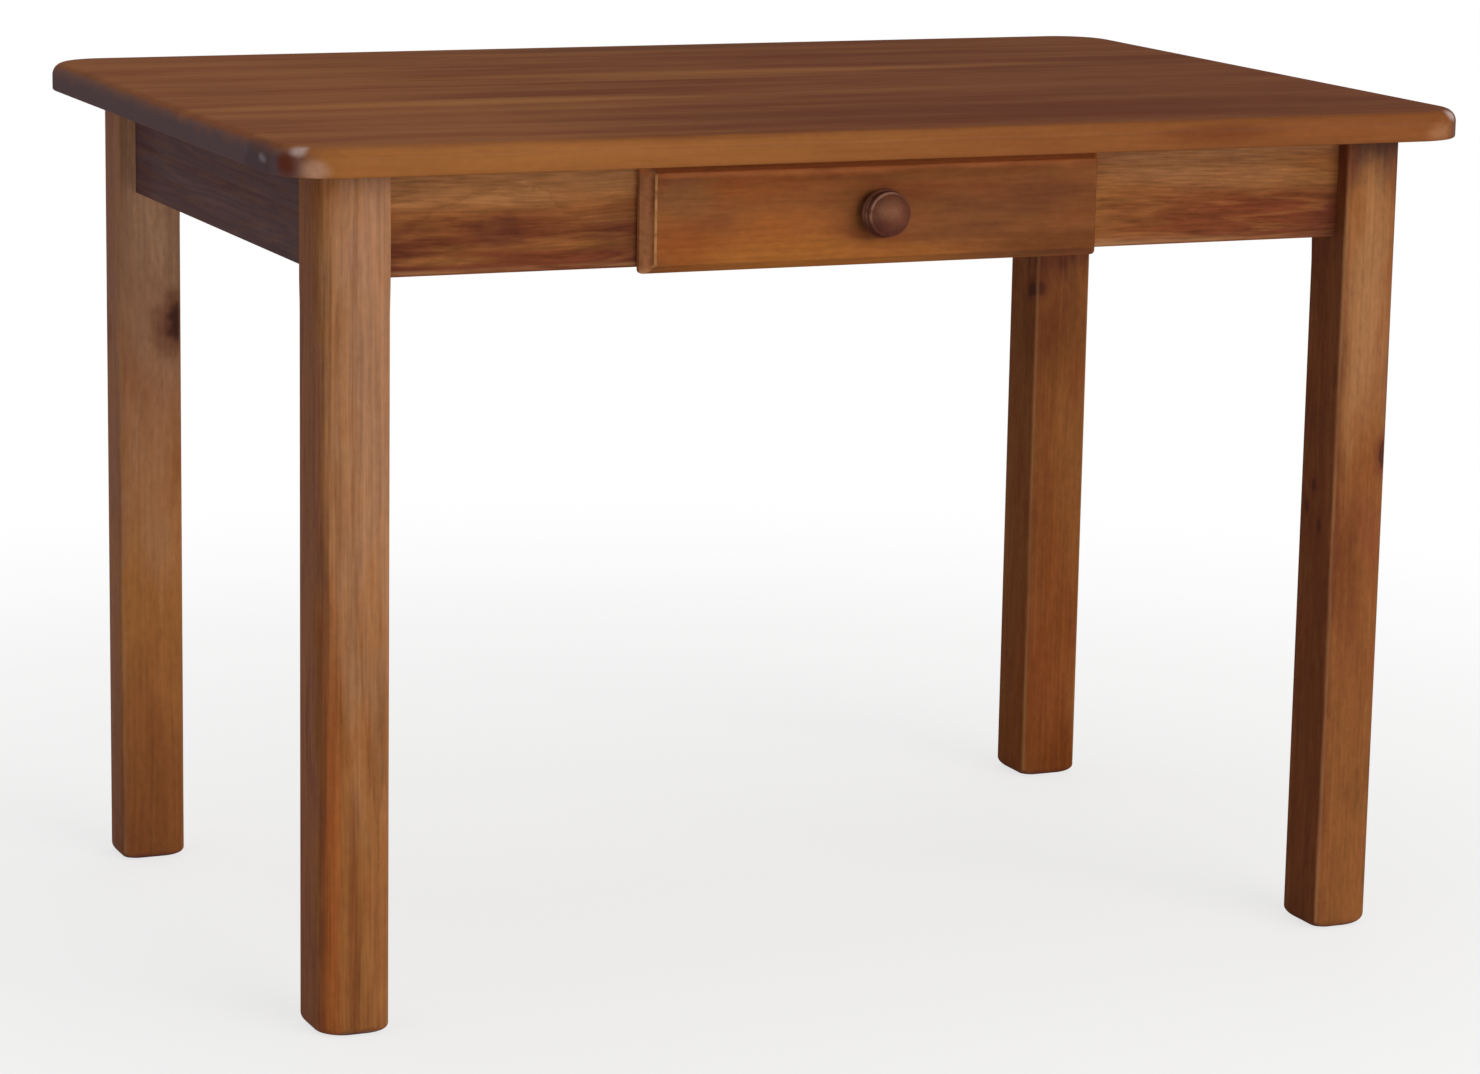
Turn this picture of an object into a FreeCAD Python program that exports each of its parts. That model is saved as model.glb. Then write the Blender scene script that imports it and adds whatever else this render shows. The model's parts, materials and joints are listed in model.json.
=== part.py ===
import FreeCAD, Part
import math
import os

# A free-standing pine table with one drawer under the middle of its long front side.
# Millimetres. X runs along the length, the drawer faces -Y, Z is up, and the origin is
# on the floor under the middle of the table.

Vector = FreeCAD.Vector
X_AXIS = Vector(1, 0, 0)
Y_AXIS = Vector(0, 1, 0)
Z_AXIS = Vector(0, 0, 1)

# ---- tabletop ----
table_height = 750.0
top_length = 1100.0
top_width = 740.0
top_thickness = 25.0
top_corner_radius = 55.0      # corners in plan
top_edge_radius = 11.0        # roundover along the upper edge
top_lower_radius = 2.0        # easing along the lower edge
top_board_count = 7           # boards glued edge to edge

# ---- legs ----
top_overhang_x = 45.0         # from the leg's outer face to the end of the top
top_overhang_y = 45.0
leg_size = 60.0
leg_outer_radius = 22.0       # the corner that points away from the table
leg_edge_radius = 6.0         # the other three corners
foot_edge_radius = 5.0

# ---- aprons ----
apron_height = 90.0
apron_thickness = 20.0
apron_inset = 17.0            # from the leg's outer face to the apron's outer face
apron_edge_radius = 1.5
dowel_diameter = 10.0
dowel_in_leg = 24.0
dowel_in_apron = 30.0
dowel_spacing = 48.0

# ---- corner blocks and leg bolts ----
block_height = 56.0
block_thickness = 28.0
block_leg_gap = 3.0
block_screw_seat = 20.0       # wood left under each screw head
bolt_diameter = 8.0
bolt_in_leg = 34.0
bolt_beyond_nut = 3.0
washer_diameter = 24.0
washer_thickness = 2.0
nut_width = 13.0
nut_thickness = 6.5

# ---- brackets that hold the top ----
bracket_leg = 24.0
bracket_width = 18.0
bracket_thickness = 2.0
bracket_from_leg = 115.0      # middle of a bracket on a long apron from the leg beside it

# ---- drawer opening and rails ----
drawer_offset = -12.0         # middle of the drawer from the middle of the table
opening_width = 396.0
opening_floor = 18.0          # apron left below the opening
opening_lintel = 12.0         # apron left above it
rail_length_in_apron = 6.0    # each runner end is housed this deep
runner_bearing_width = 16.0         # width under the drawer's side
runner_guide_width = 16.0
runner_guide_height = 14.0
runner_height = 17.0
runner_lift = 0.5             # runner top above the opening's floor
kicker_width = 30.0
kicker_screw_pitch = 190.0

# ---- drawer box ----
drawer_length = 380.0
drawer_side_clearance = 1.5
drawer_slide_clearance = 0.3
drawer_top_clearance = 1.2
drawer_wall = 12.0
drawer_bottom_thickness = 4.0
drawer_bottom_rise = 6.0      # lower edge of the walls to the bottom panel
drawer_groove_depth = 5.0
groove_clearance = 0.1
drawer_dowel_diameter = 6.0
drawer_dowel_in_end = 16.0
drawer_dowel_in_side = 8.0
drawer_dowel_edge = 13.0      # dowel axis from the wall's upper and lower edges
stop_width = 40.0
stop_thickness = 8.0
stop_height = 30.0
stop_rise = 8.0               # how far it stands above the box

# ---- drawer front and knob ----
front_width = 426.0
front_below_apron = 5.0
front_top_gap = 2.0
front_thickness = 20.0
front_edge = 6.0              # square edge behind the bevel
front_bevel_width = 8.8
front_apron_gap = 0.5
front_screw_inset = 60.0
knob_diameter = 42.0
knob_neck_diameter = 19.0
knob_neck_length = 5.5
knob_neck_cove = 1.5          # how much the neck flares at each end
knob_under_rise = 1.5         # slope of the head's underside
knob_rim = 5.0
knob_rim_step = 1.5           # small step from the rim to the head's side
knob_side_length = 10.0       # from the rim to the arris where the dome starts
knob_dome_diameter = 36.0
knob_length = 32.0

# ---- wood screws: thread diameter, head diameter, length ----
block_screw = (4.5, 9.0, 34.0)
bracket_screw = (4.0, 8.0, 16.0)
kicker_screw = (4.0, 8.0, 28.0)
front_screw = (4.0, 8.0, 26.0)
stop_screw = (3.5, 7.0, 17.0)
knob_screw = (4.0, 8.0, 46.0)
recess_width = 0.9            # cross recess in every head
recess_depth = 1.3
counterbore_clearance = 0.5

# ---- places that follow from the sizes above ----
underside = table_height - top_thickness
leg_x = top_length / 2 - top_overhang_x
leg_y = top_width / 2 - top_overhang_y
apron_outer_x = leg_x - apron_inset
apron_outer_y = leg_y - apron_inset
apron_inner_x = apron_outer_x - apron_thickness
apron_inner_y = apron_outer_y - apron_thickness
bracket_reach_x = leg_x - leg_size - bracket_from_leg
apron_bottom = underside - apron_height
apron_middle = underside - apron_height / 2
opening_bottom = apron_bottom + opening_floor
opening_top = underside - opening_lintel
runner_top = opening_bottom + runner_lift
box_bottom = runner_top + drawer_slide_clearance
box_top = opening_top - drawer_top_clearance
box_height = box_top - box_bottom
box_half = opening_width / 2 - drawer_side_clearance
box_front = -(apron_outer_y + front_apron_gap)
box_back = box_front + drawer_length
front_bottom = apron_bottom - front_below_apron
front_top = underside - front_top_gap
front_face = box_front - front_thickness
panel_bottom = box_bottom + drawer_bottom_rise
panel_top = panel_bottom + drawer_bottom_thickness
knob_height = (front_bottom + front_top) / 2


def box(x0, x1, y0, y1, z0, z1):
    return Part.makeBox(x1 - x0, y1 - y0, z1 - z0, Vector(x0, y0, z0))


def cylinder(diameter, start, direction, length):
    return Part.makeCylinder(diameter / 2, length, start, direction)


def aim(shape, place, direction):
    """Turn a shape made along +Z to a direction and move its origin to a place."""
    turned = shape.copy()
    turned.Placement = FreeCAD.Placement(place, FreeCAD.Rotation(Z_AXIS, direction))
    return turned


def mirrored(shape, normal):
    return shape.mirror(Vector(0, 0, 0), normal)


def polygon(points):
    return Part.Face(Part.makePolygon(points + points[:1]))


def edges_along(shape, axis, where):
    """Straight edges parallel to an axis whose middle passes a test."""
    found = []
    for edge in shape.Edges:
        if not isinstance(edge.Curve, Part.Line):
            continue
        if abs(abs(edge.tangentAt(edge.FirstParameter).dot(axis)) - 1) > 1e-6:
            continue
        if where(edge.CenterOfMass):
            found.append(edge)
    return found


def edges_at_height(shape, z):
    flat = []
    for edge in shape.Edges:
        bounds = edge.BoundBox
        if abs(bounds.ZMin - z) < 1e-6 and abs(bounds.ZMax - z) < 1e-6:
            flat.append(edge)
    return flat


def screw_profile(size):
    """Half section of a countersunk wood screw, head on top at z 0, point below."""
    thread, head, length = size
    taper = (head - thread) / 2
    return [
        Vector(0, 0, 0),
        Vector(head / 2, 0, 0),
        Vector(thread / 2, 0, -taper),
        Vector(thread / 2, 0, -length + thread),
        Vector(0, 0, -length),
    ]


def screw_body(size):
    return polygon(screw_profile(size)).revolve(Vector(0, 0, 0), Z_AXIS, 360)


def screw(size):
    half = size[1] * 0.3
    slot = recess_width / 2
    cross = box(-half, half, -slot, slot, -recess_depth, 1).fuse(
        box(-slot, slot, -half, half, -recess_depth, 1))
    return screw_body(size).cut(cross)


def screws_and_holes(size, places):
    """Screws and the solids to cut for them; a place is (head centre, way it points)."""
    screws = []
    holes = []
    for place, direction in places:
        screws.append(aim(screw(size), place, -direction))
        holes.append(aim(screw_body(size), place, -direction))
    return screws, holes


def cut_all(shape, tools):
    return shape.cut(tools) if tools else shape


# ---- tabletop: one rounded slab, parted along the glue lines ----
def make_top():
    x = top_length / 2
    y = top_width / 2
    slab = box(-x, x, -y, y, underside, table_height)
    slab = slab.makeFillet(top_corner_radius, edges_along(slab, Z_AXIS, lambda c: True))
    slab = slab.makeFillet(top_edge_radius, edges_at_height(slab, table_height))
    slab = slab.makeFillet(top_lower_radius, edges_at_height(slab, underside))
    return slab


def top_boards(holes):
    slab = cut_all(make_top(), holes)
    board_width = top_width / top_board_count
    boards = {}
    for i in range(top_board_count):
        y0 = -top_width / 2 + i * board_width
        cell = box(-top_length, top_length, y0, y0 + board_width, 0, 2 * table_height)
        boards["top_board_%d" % (i + 1)] = slab.common(cell)
    return boards


# ---- legs ----
def make_leg():
    """The leg whose outer corner points to +X and +Y."""
    leg = box(leg_x - leg_size, leg_x, leg_y - leg_size, leg_y, 0, underside)

    inner_x = leg_x - leg_size + 1
    inner_y = leg_y - leg_size + 1
    outer = edges_along(leg, Z_AXIS, lambda c: c.x > inner_x and c.y > inner_y)
    leg = leg.makeFillet(leg_outer_radius, outer)
    others = edges_along(leg, Z_AXIS, lambda c: c.x < inner_x or c.y < inner_y)
    leg = leg.makeFillet(leg_edge_radius, others)
    foot_round = min(foot_edge_radius, 0.9 * leg_edge_radius)
    return leg.makeFillet(foot_round, edges_at_height(leg, 0))


CORNERS = {
    "front_left": (-1, -1),
    "front_right": (1, -1),
    "back_left": (-1, 1),
    "back_right": (1, 1),
}


def to_corner(shape, corner):
    """Take a shape made at the +X +Y corner to another corner."""
    sx, sy = corner
    if sx < 0:
        shape = mirrored(shape, X_AXIS)
    if sy < 0:
        shape = mirrored(shape, Y_AXIS)
    return shape


# ---- joints between aprons and legs, drawn at the +X +Y corner ----
def corner_dowels():
    length = dowel_in_leg + dowel_in_apron
    centre_x = apron_outer_x - apron_thickness / 2
    centre_y = apron_outer_y - apron_thickness / 2
    shoulder_x = leg_x - leg_size
    shoulder_y = leg_y - leg_size
    dowels = []
    for side in (-1, 1):
        z = apron_middle + side * dowel_spacing / 2
        long_start = Vector(shoulder_x - dowel_in_apron, centre_y, z)
        side_start = Vector(centre_x, shoulder_y - dowel_in_apron, z)
        dowels.append(cylinder(dowel_diameter, long_start, X_AXIS, length))
        dowels.append(cylinder(dowel_diameter, side_start, Y_AXIS, length))
    return dowels


DIAGONAL = Vector(1, 1, 0).normalize()


def diagonal_point(distance, z):
    """A point on the corner's diagonal, a distance inward from the leg's inner corner."""
    inner = Vector(leg_x - leg_size, leg_y - leg_size, z)
    return inner - DIAGONAL * distance


def make_corner_block():
    """A block across the corner, its ends flat on the inner faces of both aprons."""
    ends = (apron_inner_x - (leg_x - leg_size)) + (apron_inner_y - (leg_y - leg_size))
    outer = ends + block_leg_gap * math.sqrt(2)
    inner = outer + block_thickness * math.sqrt(2)
    z = apron_middle - block_height / 2
    plan = polygon([
        Vector(apron_inner_x, apron_inner_y - outer, z),
        Vector(apron_inner_x, apron_inner_y - inner, z),
        Vector(apron_inner_x - inner, apron_inner_y, z),
        Vector(apron_inner_x - outer, apron_inner_y, z),
    ])
    return plan.extrude(Z_AXIS * block_height), outer, inner


def block_screw_places(outer):
    along = outer + block_screw[1]
    places = []
    for side in (-1, 1):
        z = apron_middle + side * block_height / 4
        head_x = Vector(apron_inner_x - block_screw_seat, apron_inner_y - along, z)
        head_y = Vector(apron_inner_x - along, apron_inner_y - block_screw_seat, z)
        places.append((head_x, X_AXIS))
        places.append((head_y, Y_AXIS))
    return places


def leg_fastening():
    """Bolt, washer and nut on the diagonal, and the bore that the bolt needs."""
    seat = block_leg_gap + block_thickness
    length = bolt_in_leg + seat + washer_thickness + nut_thickness + bolt_beyond_nut
    start = diagonal_point(length - bolt_in_leg, apron_middle)
    bolt = cylinder(bolt_diameter, start, DIAGONAL, length)
    washer_start = diagonal_point(seat + washer_thickness, apron_middle)
    washer = cylinder(washer_diameter, washer_start, DIAGONAL, washer_thickness)
    nut_start = diagonal_point(seat + washer_thickness + nut_thickness, apron_middle)
    corner_radius = nut_width / math.sqrt(3)
    points = []
    for i in range(6):
        angle = math.radians(60 * i)
        points.append(Vector(corner_radius * math.cos(angle), corner_radius * math.sin(angle), 0))
    nut = aim(polygon(points).extrude(Z_AXIS * nut_thickness), nut_start, DIAGONAL)
    return bolt, washer.cut(bolt), nut.cut(bolt)


# ---- brackets under the top ----
def make_bracket(place, inward):
    """An angle bracket whose upright lies on an apron; place is its outer upper corner."""
    plate = bracket_thickness
    profile = polygon([
        Vector(0, 0, 0),
        Vector(bracket_leg, 0, 0),
        Vector(bracket_leg, 0, -plate),
        Vector(plate, 0, -plate),
        Vector(plate, 0, -bracket_leg),
        Vector(0, 0, -bracket_leg),
    ])
    body = profile.extrude(Y_AXIS * bracket_width)
    body.translate(Vector(0, -bracket_width / 2, 0))
    body.rotate(Vector(0, 0, 0), Z_AXIS, math.degrees(math.atan2(inward.y, inward.x)))
    body.translate(place)
    return body


def bracket_places():
    places = []
    for side in (-1, 1):
        places.append((Vector(side * bracket_reach_x, -apron_inner_y, underside), Y_AXIS))
        places.append((Vector(side * bracket_reach_x, apron_inner_y, underside), -Y_AXIS))
        places.append((Vector(side * apron_inner_x, 0, underside), X_AXIS * -side))
    return places


def bracket_screw_places():
    """One screw up into the top and one into the apron for each bracket."""
    middle = (bracket_leg + bracket_thickness) / 2
    places = []
    for place, inward in bracket_places():
        places.append((place + inward * middle - Z_AXIS * bracket_thickness, Z_AXIS))
        places.append((place + inward * bracket_thickness - Z_AXIS * middle, -inward))
    return places


# ---- drawer rails ----
def make_runner(side, length_each_way):
    """An L-shaped rail; its foot carries the drawer's side and its wall guides it."""
    guide = drawer_offset + side * opening_width / 2
    inner = guide - side * runner_bearing_width
    outer = guide + side * runner_guide_width
    low = runner_top - runner_height
    high = runner_top + runner_guide_height
    profile = polygon([
        Vector(inner, -length_each_way, low),
        Vector(outer, -length_each_way, low),
        Vector(outer, -length_each_way, high),
        Vector(guide, -length_each_way, high),
        Vector(guide, -length_each_way, runner_top),
        Vector(inner, -length_each_way, runner_top),
    ])
    return profile.extrude(Y_AXIS * 2 * length_each_way)


def make_kicker(side):
    inner = drawer_offset + side * (opening_width / 2 - runner_bearing_width)
    outer = inner + side * kicker_width
    return box(min(inner, outer), max(inner, outer), -apron_inner_y, apron_inner_y,
               opening_top, underside)


def kicker_screw_places():
    middle = opening_width / 2 - runner_bearing_width + kicker_width / 2
    places = []
    for side in (-1, 1):
        for step in (-1, 0, 1):
            head = Vector(drawer_offset + side * middle, step * kicker_screw_pitch, opening_top)
            places.append((head, Z_AXIS))
    return places


# ---- aprons ----
def long_apron(side):
    """side is -1 for the front apron and 1 for the back one."""
    x = leg_x - leg_size
    y0 = min(side * apron_inner_y, side * apron_outer_y)
    apron = box(-x, x, y0, y0 + apron_thickness, apron_bottom, underside)
    lower = edges_along(apron, X_AXIS, lambda c: c.z < apron_bottom + 1)
    return apron.makeFillet(apron_edge_radius, lower)


def side_apron(side):
    y = leg_y - leg_size
    x0 = min(side * apron_inner_x, side * apron_outer_x)
    apron = box(x0, x0 + apron_thickness, -y, y, apron_bottom, underside)
    lower = edges_along(apron, Y_AXIS, lambda c: c.z < apron_bottom + 1)
    return apron.makeFillet(apron_edge_radius, lower)


def drawer_opening():
    half = opening_width / 2
    return box(drawer_offset - half, drawer_offset + half, -apron_outer_y - 1,
               -apron_inner_y + 1, opening_bottom, opening_top)


# ---- drawer box ----
def bottom_panel():
    half = box_half - drawer_wall + drawer_groove_depth - groove_clearance
    end = drawer_wall - drawer_groove_depth + groove_clearance
    return box(drawer_offset - half, drawer_offset + half, box_front + end, box_back - end,
               panel_bottom, panel_top)


def bottom_groove():
    half = box_half - drawer_wall + drawer_groove_depth
    end = drawer_wall - drawer_groove_depth
    return box(drawer_offset - half, drawer_offset + half, box_front + end, box_back - end,
               panel_bottom - groove_clearance, panel_top + groove_clearance)


def drawer_side(side):
    inner = drawer_offset + side * (box_half - drawer_wall)
    outer = drawer_offset + side * box_half
    wall = box(min(inner, outer), max(inner, outer), box_front, box_back, box_bottom, box_top)
    return wall.cut(bottom_groove())


def drawer_end(y0):
    half = box_half - drawer_wall
    wall = box(drawer_offset - half, drawer_offset + half, y0, y0 + drawer_wall,
               box_bottom, box_top)
    return wall.cut(bottom_groove())


def drawer_dowels():
    """Two dowels in each corner of the box, lengthwise along X."""
    length = drawer_dowel_in_end + drawer_dowel_in_side
    middles = (box_front + drawer_wall / 2, box_back - drawer_wall / 2)
    heights = (panel_top + drawer_dowel_edge, box_top - drawer_dowel_edge)
    dowels = []
    for side in (-1, 1):
        start_x = drawer_offset + side * (box_half - drawer_wall - drawer_dowel_in_end)
        for y in middles:
            for z in heights:
                start = Vector(start_x, y, z)
                dowels.append(cylinder(drawer_dowel_diameter, start, X_AXIS * side, length))
    return dowels


def make_stop():
    """A block on the back wall that meets the apron's lintel when the drawer is out."""
    y1 = box_back - drawer_wall
    return box(drawer_offset - stop_width / 2, drawer_offset + stop_width / 2,
               y1 - stop_thickness, y1, box_top + stop_rise - stop_height, box_top + stop_rise)


def stop_screw_places():
    y = box_back - drawer_wall - stop_thickness
    z = (box_top + box_top + stop_rise - stop_height) / 2
    places = []
    for side in (-1, 1):
        places.append((Vector(drawer_offset + side * stop_width / 4, y, z), Y_AXIS))
    return places


# ---- drawer front, its screws and its knob ----
def make_drawer_front():
    """A panel with a wide bevel round its face."""
    half = front_width / 2

    def outline(inset, y):
        x0 = drawer_offset - half + inset
        x1 = drawer_offset + half - inset
        z0 = front_bottom + inset
        z1 = front_top - inset
        corners = [Vector(x0, y, z0), Vector(x1, y, z0), Vector(x1, y, z1), Vector(x0, y, z1)]
        return Part.makePolygon(corners + corners[:1])

    bevel_back = box_front - front_edge
    edge = Part.Face(outline(0, bevel_back)).extrude(Y_AXIS * front_edge)
    bevel = Part.makeLoft([outline(0, bevel_back), outline(front_bevel_width, front_face)], True)
    return edge.fuse(bevel).removeSplitter()


def front_screw_places():
    half = box_half - drawer_wall - front_screw_inset
    y = box_front + drawer_wall
    heights = (panel_top + drawer_dowel_edge, box_top - drawer_dowel_edge)
    places = []
    for side in (-1, 1):
        for z in heights:
            places.append((Vector(drawer_offset + side * half, y, z), -Y_AXIS))
    return places


def make_knob():
    """A turned knob: a coved neck, a rim, a tapered side and a dome cut from a sphere."""
    neck = knob_neck_diameter / 2
    radius = knob_diameter / 2
    rim_start = knob_neck_length + knob_under_rise
    rim_end = rim_start + knob_rim
    foot = Vector(neck + knob_neck_cove, 0, 0)
    waist = Vector(neck, 0, knob_neck_length / 2)
    shoulder = Vector(neck + knob_neck_cove, 0, knob_neck_length)
    rim_low = Vector(radius, 0, rim_start)
    rim_high = Vector(radius, 0, rim_end)
    side_start = Vector(radius - knob_rim_step, 0, rim_end)
    dome_edge = Vector(knob_dome_diameter / 2, 0, rim_end + knob_side_length)
    dome_height = knob_length - dome_edge.z
    dome_radius = (dome_edge.x ** 2 + dome_height ** 2) / (2 * dome_height)
    half_angle = math.atan2(dome_edge.x, dome_radius - dome_height) / 2
    dome_middle = Vector(dome_radius * math.sin(half_angle), 0,
                         knob_length - dome_radius * (1 - math.cos(half_angle)))
    tip = Vector(0, 0, knob_length)
    centre = Vector(0, 0, 0)
    wire = Part.Wire([
        Part.LineSegment(centre, foot).toShape(),
        Part.Arc(foot, waist, shoulder).toShape(),
        Part.LineSegment(shoulder, rim_low).toShape(),
        Part.LineSegment(rim_low, rim_high).toShape(),
        Part.LineSegment(rim_high, side_start).toShape(),
        Part.LineSegment(side_start, dome_edge).toShape(),
        Part.Arc(dome_edge, dome_middle, tip).toShape(),
        Part.LineSegment(tip, centre).toShape(),
    ])
    turned = Part.Face(wire).revolve(centre, Z_AXIS, 360)
    return aim(turned, Vector(drawer_offset, front_face, knob_height), -Y_AXIS)


def knob_screw_places():
    head = Vector(drawer_offset, box_front + drawer_wall, knob_height)
    return [(head, -Y_AXIS)]


# ---- the whole table ----
def build():
    nodes = {}

    block, block_outer, block_inner = make_corner_block()
    bolt, washer, nut = leg_fastening()
    block_places = block_screw_places(block_outer)
    dowels = corner_dowels()
    block_screws, block_holes = screws_and_holes(block_screw, block_places)
    counterbores = []
    for place, direction in block_places:
        width = block_screw[1] + 2 * counterbore_clearance
        counterbores.append(cylinder(width, place, -direction, block_inner))
    block = block.cut(block_holes + counterbores + [bolt])
    leg = make_leg().cut(dowels + [bolt])

    corner_tools = []
    groups = {name: [] for name in ("apron_dowels", "corner_block_screws", "leg_bolts",
                                    "leg_washers", "leg_nuts")}
    for name, corner in CORNERS.items():
        nodes["leg_" + name] = to_corner(leg, corner)
        nodes["corner_block_" + name] = to_corner(block, corner)
        placed = [to_corner(dowel, corner) for dowel in dowels]
        groups["apron_dowels"] += placed
        groups["corner_block_screws"] += [to_corner(one, corner) for one in block_screws]
        groups["leg_bolts"].append(to_corner(bolt, corner))
        groups["leg_washers"].append(to_corner(washer, corner))
        groups["leg_nuts"].append(to_corner(nut, corner))
        corner_tools += placed + [to_corner(hole, corner) for hole in block_holes]

    bracket_screws, bracket_holes = screws_and_holes(bracket_screw, bracket_screw_places())
    brackets = [make_bracket(place, inward) for place, inward in bracket_places()]
    groups["top_brackets"] = [one.cut(bracket_holes) for one in brackets]
    groups["top_bracket_screws"] = bracket_screws

    kicker_screws, kicker_holes = screws_and_holes(kicker_screw, kicker_screw_places())
    groups["drawer_kicker_screws"] = kicker_screws
    housed = apron_inner_y + rail_length_in_apron
    runners = {"left": make_runner(-1, housed), "right": make_runner(1, housed)}
    for name, side in (("left", -1), ("right", 1)):
        nodes["drawer_runner_" + name] = runners[name]
        nodes["drawer_kicker_" + name] = make_kicker(side).cut(kicker_holes)

    apron_tools = corner_tools + bracket_holes + list(runners.values())
    nodes["apron_front"] = long_apron(-1).cut(apron_tools + [drawer_opening()])
    nodes["apron_back"] = long_apron(1).cut(apron_tools)
    nodes["apron_left"] = side_apron(-1).cut(apron_tools)
    nodes["apron_right"] = side_apron(1).cut(apron_tools)
    nodes.update(top_boards(bracket_holes + kicker_holes))

    small_dowels = drawer_dowels()
    front_screws, front_holes = screws_and_holes(front_screw, front_screw_places())
    stop_screws, stop_holes = screws_and_holes(stop_screw, stop_screw_places())
    knob_screws, knob_holes = screws_and_holes(knob_screw, knob_screw_places())
    groups["drawer_dowels"] = small_dowels
    groups["drawer_front_screws"] = front_screws
    groups["drawer_stop_screws"] = stop_screws
    nodes["drawer_side_left"] = drawer_side(-1).cut(small_dowels)
    nodes["drawer_side_right"] = drawer_side(1).cut(small_dowels)
    nodes["drawer_box_front"] = drawer_end(box_front).cut(small_dowels + front_holes + knob_holes)
    nodes["drawer_box_back"] = drawer_end(box_back - drawer_wall).cut(small_dowels + stop_holes)
    nodes["drawer_bottom"] = bottom_panel()
    nodes["drawer_stop"] = make_stop().cut(stop_holes)
    nodes["drawer_front"] = make_drawer_front().cut(front_holes + knob_holes)
    nodes["drawer_knob"] = make_knob().cut(knob_holes)
    nodes["drawer_knob_screw"] = knob_screws[0]

    for name, solids in groups.items():
        nodes[name] = Part.makeCompound(solids)
    return nodes


os.makedirs("parts", exist_ok=True)
for node_name, node_shape in build().items():
    node_shape.exportStep("parts/%s.step" % node_name)
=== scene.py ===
import json
import math

import bmesh
import bpy
import numpy as np
from bpy.props import FloatProperty, FloatVectorProperty, PointerProperty
from mathutils import Matrix, Vector


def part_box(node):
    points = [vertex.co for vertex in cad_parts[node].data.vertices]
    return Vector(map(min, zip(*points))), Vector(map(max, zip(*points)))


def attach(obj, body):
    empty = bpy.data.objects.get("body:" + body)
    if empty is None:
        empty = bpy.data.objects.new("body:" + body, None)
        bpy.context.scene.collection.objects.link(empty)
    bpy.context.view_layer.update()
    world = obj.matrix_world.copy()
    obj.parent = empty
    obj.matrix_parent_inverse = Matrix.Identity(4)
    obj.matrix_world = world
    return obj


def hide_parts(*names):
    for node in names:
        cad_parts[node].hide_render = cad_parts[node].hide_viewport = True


bl_info = {
    "name": "Pine table with a drawer",
    "version": (1, 0, 0),
    "blender": (4, 5, 0),
    "location": "View3D > Sidebar > Table",
    "description": "Dresses a pine dining table: stained boards, legs, drawer front and knob",
    "category": "Object",
}

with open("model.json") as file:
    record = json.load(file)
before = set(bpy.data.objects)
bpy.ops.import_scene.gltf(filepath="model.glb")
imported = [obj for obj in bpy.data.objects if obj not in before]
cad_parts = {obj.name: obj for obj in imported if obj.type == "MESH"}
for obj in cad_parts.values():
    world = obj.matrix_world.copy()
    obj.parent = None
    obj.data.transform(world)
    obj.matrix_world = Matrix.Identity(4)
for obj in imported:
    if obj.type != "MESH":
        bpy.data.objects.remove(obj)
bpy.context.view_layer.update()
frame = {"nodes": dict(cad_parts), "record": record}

HALF_WAY = (0.5, 0.5, 0.5)
LEG_CORNERS = {
    "front_left": (-1, -1),
    "front_right": (1, -1),
    "back_left": (-1, 1),
    "back_right": (1, 1),
}
BOARD_COUNT = sum(name.startswith("top_board_") for name in frame["nodes"])


# ------------------------------------------------------------------ settings

def distance(name, description, default, least):
    return FloatProperty(name=name, description=description, default=default, min=least,
                         subtype="DISTANCE", unit="LENGTH")


def stain(name, description, *default):
    return FloatVectorProperty(name=name, description=description, default=default,
                               subtype="COLOR", size=3, min=0, max=1)


def share(name, description, default):
    return FloatProperty(name=name, description=description, default=default, min=0, max=1,
                         subtype="FACTOR")


def power(name, description, default):
    return FloatProperty(name=name, description=description, default=default, min=0,
                         unit="POWER")


class TableShape(bpy.types.PropertyGroup):
    """Sizes of the rounded and bevelled edges."""

    top_corner: distance("Top corner", "Radius of the top's corners in plan", 0.055, 0.005)
    top_edge: distance("Top edge", "Roundover along the top's upper edge", 0.011, 0.002)
    top_under: distance("Top lower edge", "Easing along the top's lower edge", 0.002, 0.0005)
    leg_outer: distance("Leg outer corner", "Radius of the leg's outward corner",
                        0.022, 0.002)
    leg_edge: distance("Leg edge", "Radius of the leg's other edges below the aprons",
                       0.0052, 0.0005)
    leg_edge_top: distance("Leg edge at the joint", "Radius of those edges beside the aprons",
                           0.0034, 0.0005)
    foot: distance("Foot", "Rounding of the foot's edges", 0.009, 0.0005)
    front_edge: distance("Drawer front edge", "Square edge behind the bevel", 0.006, 0.001)
    front_bevel: distance("Drawer front bevel", "Width of the bevel round the face",
                          0.0088, 0.001)
    front_corner: distance("Drawer front corner", "Radius of the drawer front's corners",
                           0.0035, 0.0005)


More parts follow.
